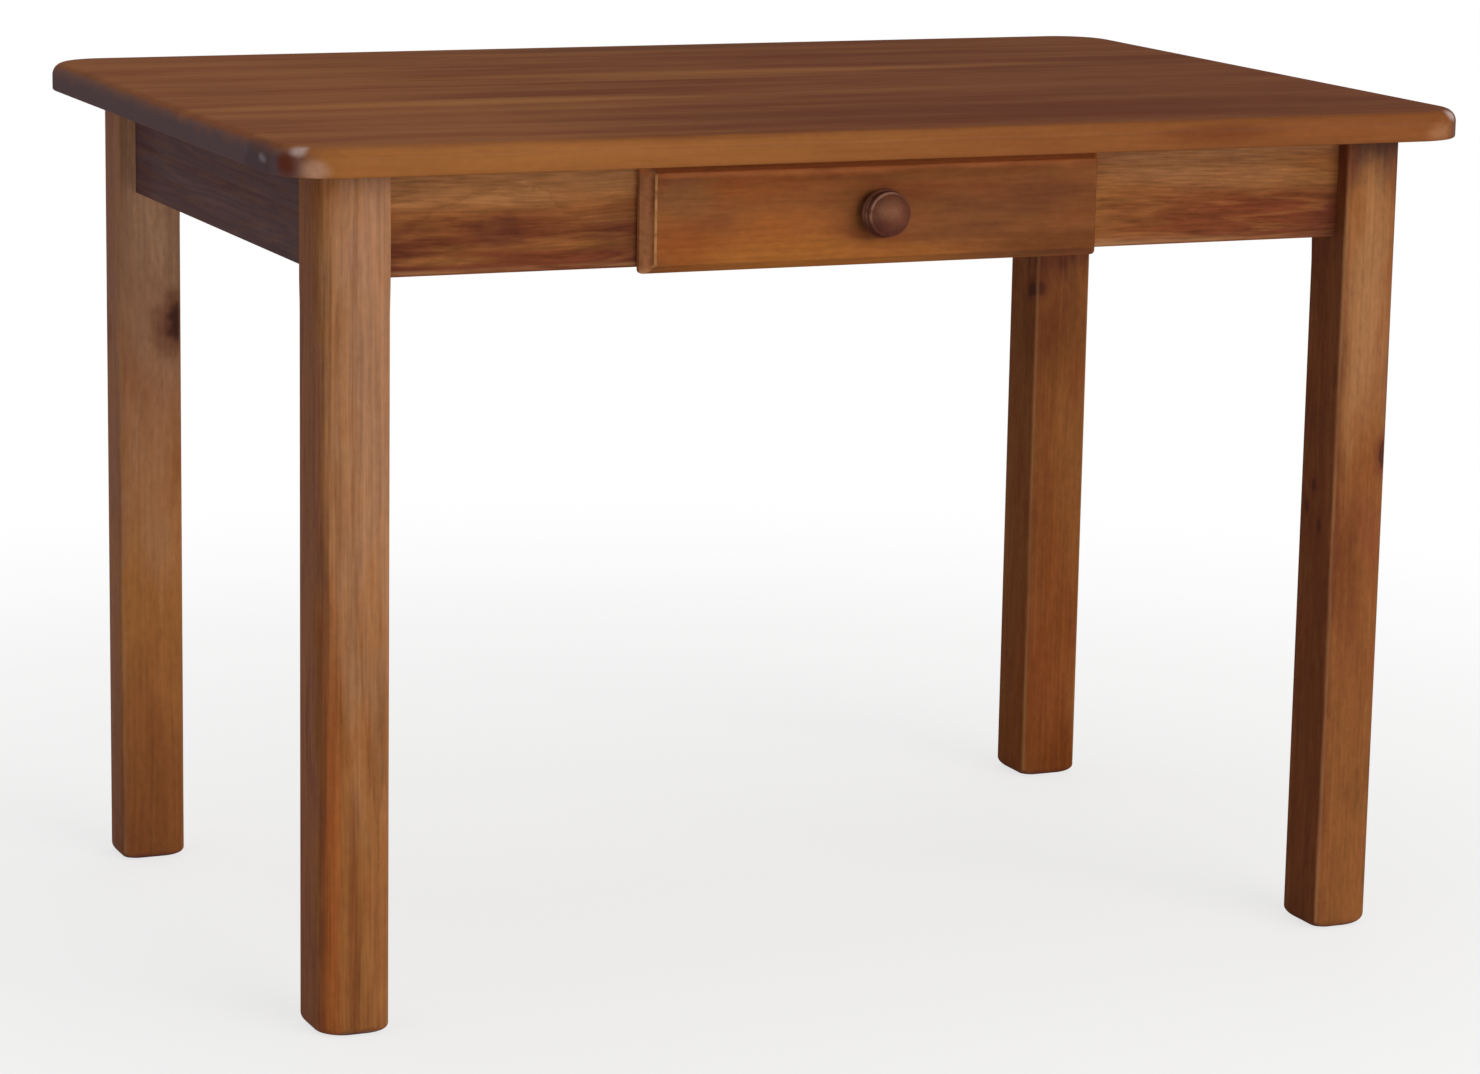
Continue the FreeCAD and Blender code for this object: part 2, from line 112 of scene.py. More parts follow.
class WoodFinish(bpy.types.PropertyGroup):
    """Colours and gloss of the stained pine and of the bare wood inside."""

    gold: stain("Sapwood", "Stain on pale sapwood", 0.300, 0.122, 0.036)
    red: stain("Heartwood", "Stain on red heartwood", 0.158, 0.043, 0.015)
    late: stain("Grain lines", "Stain in the dense grain lines", 0.105, 0.026, 0.009)
    knot: stain("Knots", "Stain in the core of a knot", 0.040, 0.014, 0.014)
    halo: stain("Knot surround", "Stain in the wood round a knot", 0.130, 0.030, 0.016)
    # End grain takes up more stain; this colour's bluish slate tint is a painted cool sheen
    end: stain("End grain", "Stain soaked into end grain", 0.116, 0.075, 0.084)
    # worn edges: also the colour of painted highlights on the drawer's arris and the aprons'
    # lower edge, and partly on the legs' corners
    worn_and_highlight: stain("Worn edges", "Stain rubbed thin on edges", 0.430, 0.220, 0.095)
    bare: stain("Bare pine", "Unstained wood of the drawer box and rails",
                0.560, 0.350, 0.165)
    bare_late: stain("Bare grain lines", "Grain lines of the unstained wood",
                     0.400, 0.205, 0.080)
    roughness: share("Lacquer roughness", "Roughness of the satin lacquer", 0.46)
    specular: share("Lacquer gloss", "Specular level of the satin lacquer", 0.0)
    coat: share("Lacquer coat", "Weight of the thin clear coat on the lacquer", 0.03)
    coat_roughness: share("Coat roughness", "Roughness of that clear coat", 0.16)


class StageSettings(bpy.types.PropertyGroup):
    """Camera and lights."""

    camera_place: FloatVectorProperty(
        name="Camera place", description="Camera's place in the table's frame",
        subtype="XYZ", unit="LENGTH", size=3, default=(-1.6703, -3.8373, 1.1836))
    camera_turn: FloatVectorProperty(
        name="Camera turn", description="Turn to the right, downward pitch and roll",
        subtype="EULER", unit="ROTATION", size=3,
        default=(math.radians(23.63), math.radians(11.50), math.radians(1.04)))
    lens: FloatProperty(
        name="Focal length", description="Focal length in millimetres on a 36 mm sensor",
        default=112.6, min=10)
    key_power: power("Key light", "Power of the large soft light in front", 150.0)
    side_power: power("Side light", "Power of the cool light on the left", 4.0)
    top_power: power("Top light", "Power of the overhead light", 36.0)
    back_power: power("Back light", "Power of the light behind, on the right", 45.0)
    sky: FloatProperty(
        name="Room light", description="Strength of the even light from the room",
        default=0.34, min=0)


# ------------------------------------------------------------- mesh building

def skin(name, rings, smooth_angle=30.0):
    """A closed solid from a stack of closed loops.

    rings is an array (loops, points in a loop, 3). Point j of loop i joins point j + 1 of
    the same loop and point j of the next loop with one four-sided face; one flat face
    closes the first loop and one the last.
    """
    loops, size = rings.shape[:2]
    i, j = np.meshgrid(np.arange(loops - 1), np.arange(size), indexing="ij")
    after = (j + 1) % size
    quads = np.stack([i * size + j, i * size + after,
                      (i + 1) * size + after, (i + 1) * size + j], axis=-1)
    first = list(range(size))[::-1]
    last = list(range((loops - 1) * size, loops * size))
    mesh = bpy.data.meshes.new(name)
    mesh.from_pydata(rings.reshape(-1, 3).tolist(), [],
                     quads.reshape(-1, 4).tolist() + [first, last])
    faces = bmesh.new()
    faces.from_mesh(mesh)
    bmesh.ops.recalc_face_normals(faces, faces=faces.faces)
    faces.to_mesh(mesh)
    faces.free()
    mesh.shade_smooth()
    mesh.set_sharp_from_angle(angle=math.radians(smooth_angle))
    piece = bpy.data.objects.new(name, mesh)
    bpy.context.scene.collection.objects.link(piece)
    return piece


def points(*parts):
    """An array of points from their parts, each a number or an array."""
    return np.stack(np.broadcast_arrays(*parts), axis=-1)


def quarter(radius, steps):
    """Inset and rise of a quarter round: r (1 - cos a) and r (1 - sin a), a from 0 to 90."""
    a = np.linspace(0, math.pi / 2, steps)
    return radius * (1 - np.cos(a)), radius * (1 - np.sin(a))


def rounded_rectangle(low, high, radii, steps):
    """Points round a rectangle with a round corner of its own radius at each corner.

    Corner k runs from angle 90 k to 90 k + 90 degrees, starting at the corner with the
    highest u and v: centre + r (cos a, sin a). Returns an array (4 steps, 2).
    """
    (u0, v0), (u1, v1) = low, high
    sides = np.array([(1, 1), (-1, 1), (-1, -1), (1, -1)], float)
    corner = np.where(sides > 0, (u1, v1), (u0, v0))
    radii = np.asarray(radii, float)[:, None]
    centre = corner - sides * radii
    a = np.radians(90.0 * np.arange(4)[:, None] + np.linspace(0, 90, steps)[None, :])
    circle = points(np.cos(a), np.sin(a))
    return (centre[:, None, :] + radii[:, :, None] * circle).reshape(-1, 2)


def finish_piece(piece, node, body, material):
    """Give a piece its material, and let it stand in for a node and ride on its body."""
    piece.data.materials.append(material)
    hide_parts(node)
    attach(piece, body)


# ------------------------------------------------------------------ the top

def edge_profile(shape, low, high, under_steps=5, over_steps=14):
    """Inset and height from the underside, up the edge, over the roundover to the top."""
    under_inset, under_rise = quarter(shape.top_under, under_steps)
    over_inset, over_drop = quarter(shape.top_edge, over_steps)
    inset = np.concatenate([under_inset[::-1], over_inset])
    height = np.concatenate([low + under_rise[::-1], high - over_drop])
    return inset, height


def middle_board(name, shape, node_low, node_high, sections=9):
    """A board cut across both ends: the edge profile at each end, carried along Y."""
    inset, height = edge_profile(shape, node_low.z, node_high.z)
    x = np.concatenate([node_high.x - inset, (node_low.x + inset)[::-1]])
    z = np.concatenate([height, height[::-1]])
    y = np.linspace(node_low.y, node_high.y, sections)
    return skin(name, points(x, y[:, None], z))


def outer_board(name, shape, node_low, node_high, side):
    """A board with a long outer edge: the edge profile carried round a U-shaped path.

    The path runs up one end, round a corner of the given radius, along the outer edge,
    round the other corner and back. At each point the section goes inward from the
    glue line underneath, round the edge, and back to the glue line on top.
    """
    corner_steps, end_steps, side_steps = 25, 6, 60
    inset, height = edge_profile(shape, node_low.z, node_high.z)
    half_x = node_high.x
    outer = node_low.y if side < 0 else node_high.y
    glue = node_high.y if side < 0 else node_low.y
    r = shape.top_corner
    centre_y = outer - side * r
    a = np.linspace(0, math.pi / 2, corner_steps)
    straight = np.linspace(glue, centre_y, end_steps)[:-1]
    along = np.linspace(half_x - r, r - half_x, side_steps)[1:-1]
    path = np.concatenate([
        points(half_x, straight),
        points(half_x - r + r * np.cos(a), centre_y + side * r * np.sin(a)),
        points(along, outer),
        points(r - half_x - r * np.sin(a), centre_y + side * r * np.cos(a)),
        points(-half_x, straight[::-1]),
    ])
    normal = np.concatenate([
        points(1.0, np.zeros_like(straight)),
        points(np.cos(a), side * np.sin(a)),
        points(np.zeros_like(along), float(side)),
        points(-np.sin(a), side * np.cos(a)),
        points(-1.0, np.zeros_like(straight)),
    ])
    edge = path[:, None, :] - normal[:, None, :] * inset[None, :, None]
    edge = points(edge[..., 0], edge[..., 1], height)
    across = np.linspace(1, -1, len(path))
    lower = points(across * (half_x - inset[0]), glue, height[0])
    upper = points(across * (half_x - inset[-1]), glue, height[-1])
    # the first and last sections lie in the glue face, so they leave its two lines out
    rings = np.concatenate([lower[:, None], edge, upper[:, None]], axis=1)
    return skin(name, rings)


class TABLE_OT_build_top(bpy.types.Operator):
    """Make the glued boards of the tabletop, with its roundover and round corners"""

    bl_idname = "table.build_top"
    bl_label = "Build the top"

    def execute(self, context):
        shape = context.scene.table_shape
        for i in range(1, BOARD_COUNT + 1):
            node = "top_board_%d" % i
            low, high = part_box(node)
            name = "tabletop_board_%d" % i
            if i in (1, BOARD_COUNT):
                piece = outer_board(name, shape, low, high, -1 if i == 1 else 1)
            else:
                piece = middle_board(name, shape, low, high)
            material = stained_pine(name + "_pine", "X", low, high, **BOARD_LOOKS[i - 1])
            finish_piece(piece, node, "table", material)
        return {"FINISHED"}


# ----------------------------------------------------------------- the legs

def leg_surface(name, shape, low, high, corner, joint_height):
    """A square post whose outward corner has a large radius.

    Each ring is a rounded rectangle. Near the floor the rings shrink by a quarter round
    while their small radii grow by 1.2 times as much, as on a foot rounded with a sander,
    and beside the aprons the small radii fall to the radius at the joint by
    s = 3 t^2 - 2 t^3.
    """
    foot_growth = 1.2
    fade = 0.030
    inset, rise = quarter(shape.foot, 9)
    heights = np.concatenate([
        low.z + rise[::-1],
        np.linspace(low.z + shape.foot, joint_height - fade, 20)[1:],
        np.linspace(joint_height - fade, joint_height, 9)[1:],
        [high.z],
    ])
    shrink = np.concatenate([inset[::-1], np.zeros(len(heights) - len(inset))])
    t = np.clip((heights - joint_height + fade) / fade, 0, 1)
    small = shape.leg_edge + (shape.leg_edge_top - shape.leg_edge) * t * t * (3 - 2 * t)
    sides = [(1, 1), (-1, 1), (-1, -1), (1, -1)]
    rings = []
    for z, d, radius in zip(heights, shrink, small + foot_growth * shrink):
        radii = [shape.leg_outer if side == corner else radius for side in sides]
        plan = rounded_rectangle((low.x + d, low.y + d), (high.x - d, high.y - d), radii, 13)
        rings.append(points(plan[:, 0], plan[:, 1], z))
    return skin(name, np.array(rings))


def post_wear_and_highlight(low, high):
    """Wear on a post's sharp corners, and a painted highlight along them: high where both
    offsets from its middle are large.
    """
    middle = (low + high) / 2
    half = (high.x - low.x) / 2
    rub_start, rub_full, rub_share = 0.0040, 0.0016, 0.45

    def factor(w, coordinates, facing):
        offset = w.vector("ABSOLUTE", w.vector("SUBTRACT", coordinates, middle))
        part = w.parts(offset)
        nearest = w.math("MINIMUM", part["X"], part["Y"])
        return w.spread(nearest, half - rub_start, half - rub_full, 0.0, rub_share)
    return factor


class TABLE_OT_build_legs(bpy.types.Operator):
    """Make the four legs, each with one large round corner and a rounded foot"""

    bl_idname = "table.build_legs"
    bl_label = "Build the legs"

    def execute(self, context):
        shape = context.scene.table_shape
        joint_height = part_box("apron_front")[0].z
        for where, corner in LEG_CORNERS.items():
            node = "leg_" + where
            low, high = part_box(node)
            piece = leg_surface("post_" + where, shape, low, high, corner, joint_height)
            material = stained_pine(node + "_pine", "Z", low, high,
                                    wear_and_highlight=post_wear_and_highlight(low, high), **LEG_LOOKS[where])
            finish_piece(piece, node, "table", material)
        return {"FINISHED"}


# ----------------------------------------------------------- the drawer front

def drawer_front_surface(name, shape, low, high):
    """A panel with a bevelled border: rounded rectangles stacked from back to face.

    From the back the inset is a small quarter round, then zero along the square edge,
    then grows evenly with depth along the bevel, and ends in a soft arris.
    """
    ease, arris = 0.0008, 0.0016
    ease_steps, bevel_steps, arris_steps, corner_steps = 4, 9, 6, 9
    depth = high.y - low.y
    small, _ = quarter(ease, ease_steps)
    back_depth = ease * np.sin(np.linspace(0, math.pi / 2, ease_steps))
    shoulder = np.array([shape.front_edge - ease, shape.front_edge - ease * 0.3])
    run = np.linspace(0, 1, bevel_steps)
    slope_depth = shape.front_edge + (depth - shape.front_edge - arris * 0.45) * run
    slope_inset = 0.0003 + (shape.front_bevel - arris * 0.7) * run
    a = np.linspace(0, 1, arris_steps)[1:]
    face_depth = slope_depth[-1] + (depth - slope_depth[-1]) * (1 - (1 - a) ** 2)
    face_inset = slope_inset[-1] + (shape.front_bevel + arris - slope_inset[-1]) * a
    depths = np.concatenate([back_depth, shoulder, slope_depth, face_depth])
    insets = np.concatenate([small[::-1], [0, 0.0001], slope_inset, face_inset])
    rings = []
    for y, d in zip(depths, insets):
        radius = max(shape.front_corner - 0.12 * d, 0.0015)
        outline = rounded_rectangle((low.x + d, low.z + d), (high.x - d, high.z - d),
                                    [radius] * 4, corner_steps)
        rings.append(points(outline[:, 0], high.y - y, outline[:, 1]))
    return skin(name, np.array(rings), 24.0)


def knob_surface(name, low, high):
    """A turned knob: the profile below, carried round an axis along Y.

    The profile (radius, distance from the drawer front) is a neck waisted by a sine, a
    half-round bead at the back of the head, a shallow groove, a side that tapers by t^2 to
    a small round arris, and a dome cut from a sphere: r = R sin f, depth = tip - R (1 - cos f).
    """
    radius = (high.x - low.x) / 2
    length = high.y - low.y
    neck, neck_end, lip, waist = 0.0100, 0.0055, 0.0010, 0.0014
    bead_start, bead_end, bead_height = 0.0070, 0.0118, 0.0022
    side_start, side_end, side_swell = 0.0130, 0.0212, 0.0008
    dome_radius, arris = 0.0178, 0.0009
    profile_steps, turn_steps, tip_radius = 12, 96, 0.0003
    t = np.linspace(0, 1, profile_steps)
    half_turn = np.pi * t
    groove = radius - bead_height
    neck_r = neck + lip - waist * np.sin(half_turn)
    neck_d = neck_end * t
    under_r = neck + lip + (groove - neck - lip) * t
    under_d = neck_end + (bead_start - neck_end) * t ** 2
    bead_r = groove + bead_height * np.sin(half_turn)
    bead_d = (bead_start + bead_end) / 2 - (bead_end - bead_start) / 2 * np.cos(half_turn)
    side_r = groove + side_swell * np.sin(half_turn) + (dome_radius + arris - groove) * t ** 2
    side_d = side_start + (side_end - side_start) * t
    arris_r = dome_radius + arris * np.cos(half_turn / 2)
    arris_d = side_end + arris * np.sin(half_turn / 2)
    rise = length - arris_d[-1]
    ball = (dome_radius ** 2 + rise ** 2) / (2 * rise)
    f = np.arcsin(dome_radius / ball) * (1 - t)
    dome_r = ball * np.sin(f)
    dome_d = length - ball * (1 - np.cos(f))
    r = np.concatenate([neck_r, under_r[1:], bead_r[1:], side_r, arris_r[1:],
                        dome_r[1:-1], [tip_radius]])
    d = np.concatenate([neck_d, under_d[1:], bead_d[1:], side_d, arris_d[1:],
                        dome_d[1:-1], [length]])
    a = np.linspace(0, 2 * math.pi, turn_steps + 1)[:-1]
    x = (low.x + high.x) / 2 + r[:, None] * np.cos(a)
    z = (low.z + high.z) / 2 + r[:, None] * np.sin(a)
    return skin(name, points(x, high.y - d[:, None], z), 40.0)


class TABLE_OT_build_drawer_front(bpy.types.Operator):
    """Make the bevelled drawer front and its turned knob"""

    bl_idname = "table.build_drawer_front"
    bl_label = "Build the drawer front"

    def execute(self, context):
        shape = context.scene.table_shape
        low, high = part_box("drawer_front")
        piece = drawer_front_surface("drawer_face", shape, low, high)
        material = stained_pine("drawer_face_pine", "X", low, high, **DRAWER_LOOK)
        finish_piece(piece, "drawer_front", "drawer", material)
        low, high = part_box("drawer_knob")
        piece = knob_surface("knob", low, high)
        material = stained_pine("knob_pine", "Y", low, high, **KNOB_LOOK)
        finish_piece(piece, "drawer_knob", "drawer", material)
        return {"FINISHED"}


# ---------------------------------------------------------------- materials

class Wiring:
    """Short calls for adding shader nodes and joining them."""

    def __init__(self, tree):
        self.tree = tree

    def node(self, kind, **settings):
        made = self.tree.nodes.new(kind)
        for key, value in settings.items():
            setattr(made, key, value)
        return made

    def feed(self, socket, value):
        if isinstance(value, bpy.types.NodeSocket):
            self.tree.links.new(value, socket)
        elif value is not None:
            socket.default_value = value

    def fill(self, node, settings):
        """Give a node's named sockets their values, and return its first output."""
        for key, value in settings.items():
            self.feed(node.inputs[key], value)
        return node.outputs[0]

    def join(self, kind, values, **settings):
        """Add a node whose first sockets take the given values."""
        made = self.node(kind, **settings)
        for socket, value in zip(made.inputs, values):
            self.feed(socket, value)
        return made.outputs

    def math(self, operation, *values, clamp=False):
        return self.join("ShaderNodeMath", values, operation=operation, use_clamp=clamp)[0]

    def times(self, *values):
        return self.math("MULTIPLY", *values)

    def plus(self, *values):
        return self.math("ADD", *values)

    def line(self, value, slope, start):
        """slope x value + start."""
        return self.math("MULTIPLY_ADD", value, slope, start)

    def swing(self, value, width):
        """A value from 0 to 1 made one that swings by half of width about zero."""
        return self.line(value, width, -width / 2)

    def vector(self, operation, *values, output=0):
        return self.join("ShaderNodeVectorMath", values, operation=operation)[output]

    def stretch(self, vector, factors):
        return self.vector("MULTIPLY", vector, factors)

    def length(self, vector):
        return self.vector("LENGTH", vector, output=1)

    def parts(self, vector):
        return self.join("ShaderNodeSeparateXYZ", (vector,))

    def coordinates(self):
        return self.node("ShaderNodeTexCoord").outputs["Object"]

    def normal(self):
        return self.node("ShaderNodeNewGeometry").outputs["Normal"]

    def drift(self, vector, scale, detail):
        """A noise with three parts, each about zero."""
        return self.vector("SUBTRACT", self.noise(vector, scale, detail, output=1), HALF_WAY)

    def relief(self, shader, height, strength, distance):
        bump = self.fill(self.node("ShaderNodeBump"),
                         {"Strength": strength, "Distance": distance, "Height": height})
        self.feed(shader.inputs["Normal"], bump)

    def noise(self, vector, scale, detail=2.0, roughness=0.5, output=0):
        made = self.node("ShaderNodeTexNoise")
        self.fill(made, {"Vector": vector, "Scale": scale, "Detail": detail,
                         "Roughness": roughness})
        return made.outputs[output]

    def spread(self, value, low, high, to_low=0.0, to_high=1.0):
        made = self.node("ShaderNodeMapRange", interpolation_type="SMOOTHSTEP")
        return self.fill(made, {"Value": value, "From Min": low, "From Max": high,
                                "To Min": to_low, "To Max": to_high})

    def mix(self, factor, first, second, blend="MIX"):
        made = self.node("ShaderNodeMix", data_type="RGBA", blend_type=blend)
        for key, value in (("Factor", factor), ("A", first), ("B", second)):
            self.feed(made.inputs[key], value)
        return made.outputs["Result"]

    def ramp(self, value, stops):
        made = self.node("ShaderNodeValToRGB")
        elements = made.color_ramp.elements
        while len(elements) < len(stops):
            elements.new(0.5)
        for element, (place, level) in zip(elements, stops):
            element.position = place
            element.color = (level, level, level, 1)
        self.feed(made.inputs[0], value)
        return made.outputs[0]


GRAIN_TURN = {
    "X": (0.0, 0.0, 0.0),
    "Y": (0.0, 0.0, math.radians(-90)),
    "Z": (0.0, math.radians(90), 0.0),
}


def new_material(name):
    """A material, the wiring of its nodes and its main shader."""
    material = bpy.data.materials.new(name)
    material.use_nodes = True
    wiring = Wiring(material.node_tree)
    shader = material.node_tree.nodes["Principled BSDF"]
    return material, wiring, shader


def along_grain(w, grain, place):
    """Object coordinates moved to a place and turned so that X runs along the grain."""
    turn = w.node("ShaderNodeMapping", vector_type="TEXTURE")
    return w.fill(turn, {"Vector": w.coordinates(), "Location": place,
                         "Rotation": GRAIN_TURN[grain]})


def knot_field(w, coordinates, grain, knots):
    """Push on the rings, and the strength of each knot's core and surround.

    A knot is (place, direction it grows in, radius, strength). Its distance d is measured
    across its own direction, and shortened along the grain, so grain lines swerve round it
    in a long eye: push = 1.4 r e^(-0.14 (d / r)^2). The core fades out at d = 1.1 r and
    the surround at d = 2.3 r.
    """
    squeeze = [1.0, 1.0, 1.0]
    squeeze["XYZ".index(grain)] = 0.6
    push = core = halo = None
    for place, direction, radius, strength in knots:
        offset = w.stretch(w.vector("SUBTRACT", coordinates, place), squeeze)
        across = w.vector("CROSS_PRODUCT", offset, Vector(direction).normalized())
        rough = w.stretch(w.drift(coordinates, 70.0, 2.0), (radius * 1.1,) * 3)
        near = w.math("DIVIDE", w.length(w.vector("ADD", across, rough)), radius)
        swell = w.math("EXPONENT", w.times(w.math("POWER", near, 2.0), -0.14))
        swell = w.times(swell, radius * 1.4)
        middle = w.spread(near, 1.1, 0.5, 0.0, strength)
        around = w.spread(near, 2.3, 0.8, 0.0, strength * 0.8)
        push = swell if push is None else w.plus(push, swell)
        core = middle if core is None else w.math("MAXIMUM", core, middle)
        halo = around if halo is None else w.math("MAXIMUM", halo, around)
    return push, core, halo


def ring_pattern(w, grain, pith, ring, warp, wave, seed, push):
    """Dense wood of the yearly rings, 0 to 1.

    The pith is a line along the grain, below the face. A point's distance from it, bent
    by slow noise and by knots and divided by the ring's width, counts rings; within a
    ring the wood darkens slowly and ends sharply. Also returns the bent coordinates.
    """
    ring_shade = [(0.0, 0.25), (0.12, 0.0), (0.50, 0.15), (0.84, 0.85), (0.94, 1.0),
                  (1.0, 0.25)]
    stretched = w.stretch(grain, (wave, 3.0 + wave, 3.0 + wave))
    slow = w.drift(w.vector("ADD", stretched, (seed, seed * 0.37, seed * 1.71)), 1.6, 2.5)
    bent = w.vector("ADD", grain, w.stretch(slow, (0.0, warp, warp)))
    flat = w.stretch(w.vector("SUBTRACT", bent, (0.0, *pith)), (0.0, 1.0, 1.0))
    reach = w.length(flat)
    if push is not None:
        reach = w.plus(reach, push)
    fine = w.noise(w.stretch(grain, (3.0, 60.0, 60.0)), 2.2, 3.0)
    count = w.plus(w.math("DIVIDE", reach, ring), w.times(fine, 0.8))
    year = w.node("ShaderNodeTexWhiteNoise", noise_dimensions="1D")
    w.feed(year.inputs["W"], w.math("FLOOR", count))
    dense = w.ramp(w.math("FRACT", count), ring_shade)
    return w.times(dense, w.line(year.outputs["Value"], 0.8, 0.2)), bent


def grey(w, level):
    """A grey colour made from one number."""
    return w.join("ShaderNodeCombineColor", (level, level, level))[0]


def stained_pine(name, grain, low, high, pith=(0.0, -0.08), ring=0.0042, warp=0.016,
                 wave=0.55, seed=1.0, heart=0.35, contrast=0.35, shade=1.0, knots=(),
                 patches=(), wear_and_highlight=None, streak=0.45, blotch=0.8, end_depth=0.92,
                 mottle=0.5, strands=0.15, fibre_run=9.0, smear=0.4,
                 fleck=0.2, bump_strength=0.25, worn_and_highlight=None):
    """Stained and lacquered pine.

    pith is where the tree's centre line lies, across the grain from the piece's middle;
    heart is how much of the piece is red heartwood. Each patch (centre, radii, colour,
    amount) is a soft uneven place in the stain; some patches, noted where they are listed,
    are painted light and painted shade instead. Mottle is the strength of small clouds in
    the stain, smear that of long soft lines, strands that of wavy lines, the level lines of
    one slow noise, and fleck that of short marks a few millimetres long. End grain takes up
    more stain, by end_depth, and its colour carries a painted cool sheen. The wear factor
    (a factor from the piece's own edges) rubs the stain down to the worn colour: wear together
    with a painted highlight on the legs' corners, and a painted highlight alone on the
    drawer's arris, the aprons' lower edge and the knob.
    """
    wood = bpy.context.scene.table_wood
    material, w, shader = new_material(name)
    coordinates = w.coordinates()
    lengthwise = along_grain(w, grain, (low + high) / 2)
    push, core, halo = knot_field(w, coordinates, grain, knots)
    dense, bent = ring_pattern(w, lengthwise, pith, ring, warp, wave, seed, push)
    shifted = w.vector("ADD", bent, (seed * 2.3, seed, -seed))

    def speckle(along, across, scale, detail, roughness):
        """Noise stretched by its numbers of waves a metre along and across the grain."""
        return w.noise(w.stretch(shifted, (along, across, across)), scale, detail, roughness)

    blotches = speckle(2.2, 11.0, 1.5, 3.0, 0.55)
    broad = speckle(0.9, 26.0, 1.0, 2.0, 0.5)
    fibres = speckle(fibre_run, 420.0, 1.0, 3.0, 0.6)
    pores = speckle(40.0, 1500.0, 1.0, 1.0, 0.5)
    smears = speckle(6.0, 90.0, 1.3, 3.0, 0.6)
    clouds = speckle(13.0, 42.0, 1.0, 3.0, 0.6)
    flecks = speckle(90.0, 210.0, 1.0, 3.0, 0.62)
    level_lines = w.math("SINE", w.times(speckle(3.0, 34.0, 1.0, 2.0, 0.5), 48.0))

    # how red the wood is
    red_part = w.line(w.spread(blotches, 0.36, 0.66), 0.5 * blotch, heart - 0.25 * blotch)
    for field, width in ((broad, 0.9), (smears, 1.25 * smear), (clouds, 1.6 * mottle)):
        red_part = w.plus(red_part, w.swing(field, width))
    red_part = w.math("MINIMUM", w.math("MAXIMUM", red_part, 0.0), 1.0)
    colour = w.mix(red_part, (*wood.gold, 1), (*wood.red, 1))

    # End grain: darker stain, with a bluish slate tint that is a painted cool sheen
    facing = w.normal()
    axis = tuple(float(letter == grain) for letter in "XYZ")
    along = w.math("ABSOLUTE", w.vector("DOT_PRODUCT", facing, axis, output=1))
    cut = w.spread(along, 0.35, 0.95, 0.0, end_depth)
    lengthways = w.math("SUBTRACT", 1.0, cut)
    colour = w.mix(cut, colour, (*wood.end, 1))

    # uneven places in the stain, and some patches of painted light and painted shade
    if patches:
        wander = w.stretch(w.drift(w.stretch(shifted, (5.0, 34.0, 34.0)), 1.0, 2.0),
                           (1.1, 1.1, 1.1))
        ragged = w.swing(clouds, 1.6 * mottle)
        for centre, radii, tint, amount in patches:
            offset = w.stretch(w.vector("SUBTRACT", coordinates, centre),
                               [1.0 / r for r in radii])
            near = w.plus(w.length(w.vector("ADD", offset, wander)), ragged)
            colour = w.mix(w.spread(near, 1.25, 0.25, 0.0, amount), colour, (*tint, 1))

    # grain lines, then light and dark
    for field, tint in ((w.spread(level_lines, 0.1, 0.95, 0.0, strands), wood.gold),
                        (w.spread(level_lines, -0.1, -0.95, 0.0, strands * 0.5), wood.late),
                        (w.times(dense, contrast), wood.late)):
        colour = w.mix(w.times(field, lengthways), colour, (*tint, 1))
    light = w.swing(fibres, streak)
    for field, width in ((smears, smear), (clouds, 0.7 * mottle), (flecks, fleck)):
        light = w.plus(light, w.swing(field, width))
    even = shade + streak * 0.5 * (1 - shade)
    light = w.line(light, lengthways, even)
    colour = w.mix(1.0, colour, grey(w, light), blend="MULTIPLY")

    # knots, and edges rubbed to the worn colour: wear, and painted highlights
    if knots:
        colour = w.mix(halo, colour, (*wood.halo, 1))
        colour = w.mix(core, colour, (*wood.knot, 1))
    if wear_and_highlight is not None:
        rubbed_and_highlight = w.times(wear_and_highlight(w, coordinates, facing), w.spread(smears, 0.3, 0.6))
        colour = w.mix(rubbed_and_highlight, colour, (*(worn_and_highlight or wood.worn_and_highlight), 1))

    gloss = w.line(dense, -0.06, wood.roughness + 0.03)
    w.fill(shader, {"Base Color": colour, "Roughness": w.line(fibres, 0.10, gloss),
                    "Specular IOR Level": wood.specular, "Coat Weight": wood.coat,
                    "Coat Roughness": wood.coat_roughness})
    height = w.plus(w.plus(w.times(dense, 0.55), w.times(fibres, 0.5)), w.times(pores, 0.25))
    w.relief(shader, height, bump_strength, 0.0002)
    return material


def arris_highlight(w, coordinates, facing):
    """Painted highlight on the left upright arris of a bevelled face: high between bevel and
    face.
    """
    leftward = w.vector("DOT_PRODUCT", facing, (-1.0, 0.0, 0.0), output=1)
    both = w.times(w.spread(leftward, 0.04, 0.18), w.spread(leftward, 0.82, 0.66))
    return w.times(both, 0.85)


def knob_highlights(w, coordinates, facing):
    """Two painted highlight lines on a knob's left: where its side begins, and on its arris."""
    side_line, arris_line = 0.0138, 0.0214
    depth = w.math("SUBTRACT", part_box("drawer_knob")[1].y, w.parts(coordinates)["Y"])

    def ring_line(place, fade, width):
        off = w.math("ABSOLUTE", w.math("SUBTRACT", depth, place))
        return w.spread(off, fade, width)

    leftward = w.vector("DOT_PRODUCT", facing, (-0.98, 0.0, 0.10), output=1)
    upper_left = w.vector("DOT_PRODUCT", facing, (-0.70, 0.0, 0.70), output=1)
    side = w.times(ring_line(side_line, 0.0024, 0.0008),
                   w.spread(leftward, 0.60, 0.92, 0.0, 1.0))
    arris = w.times(ring_line(arris_line, 0.0016, 0.0006),
                    w.spread(upper_left, 0.05, 0.75, 0.04, 0.55))
    return w.math("MAXIMUM", side, arris)


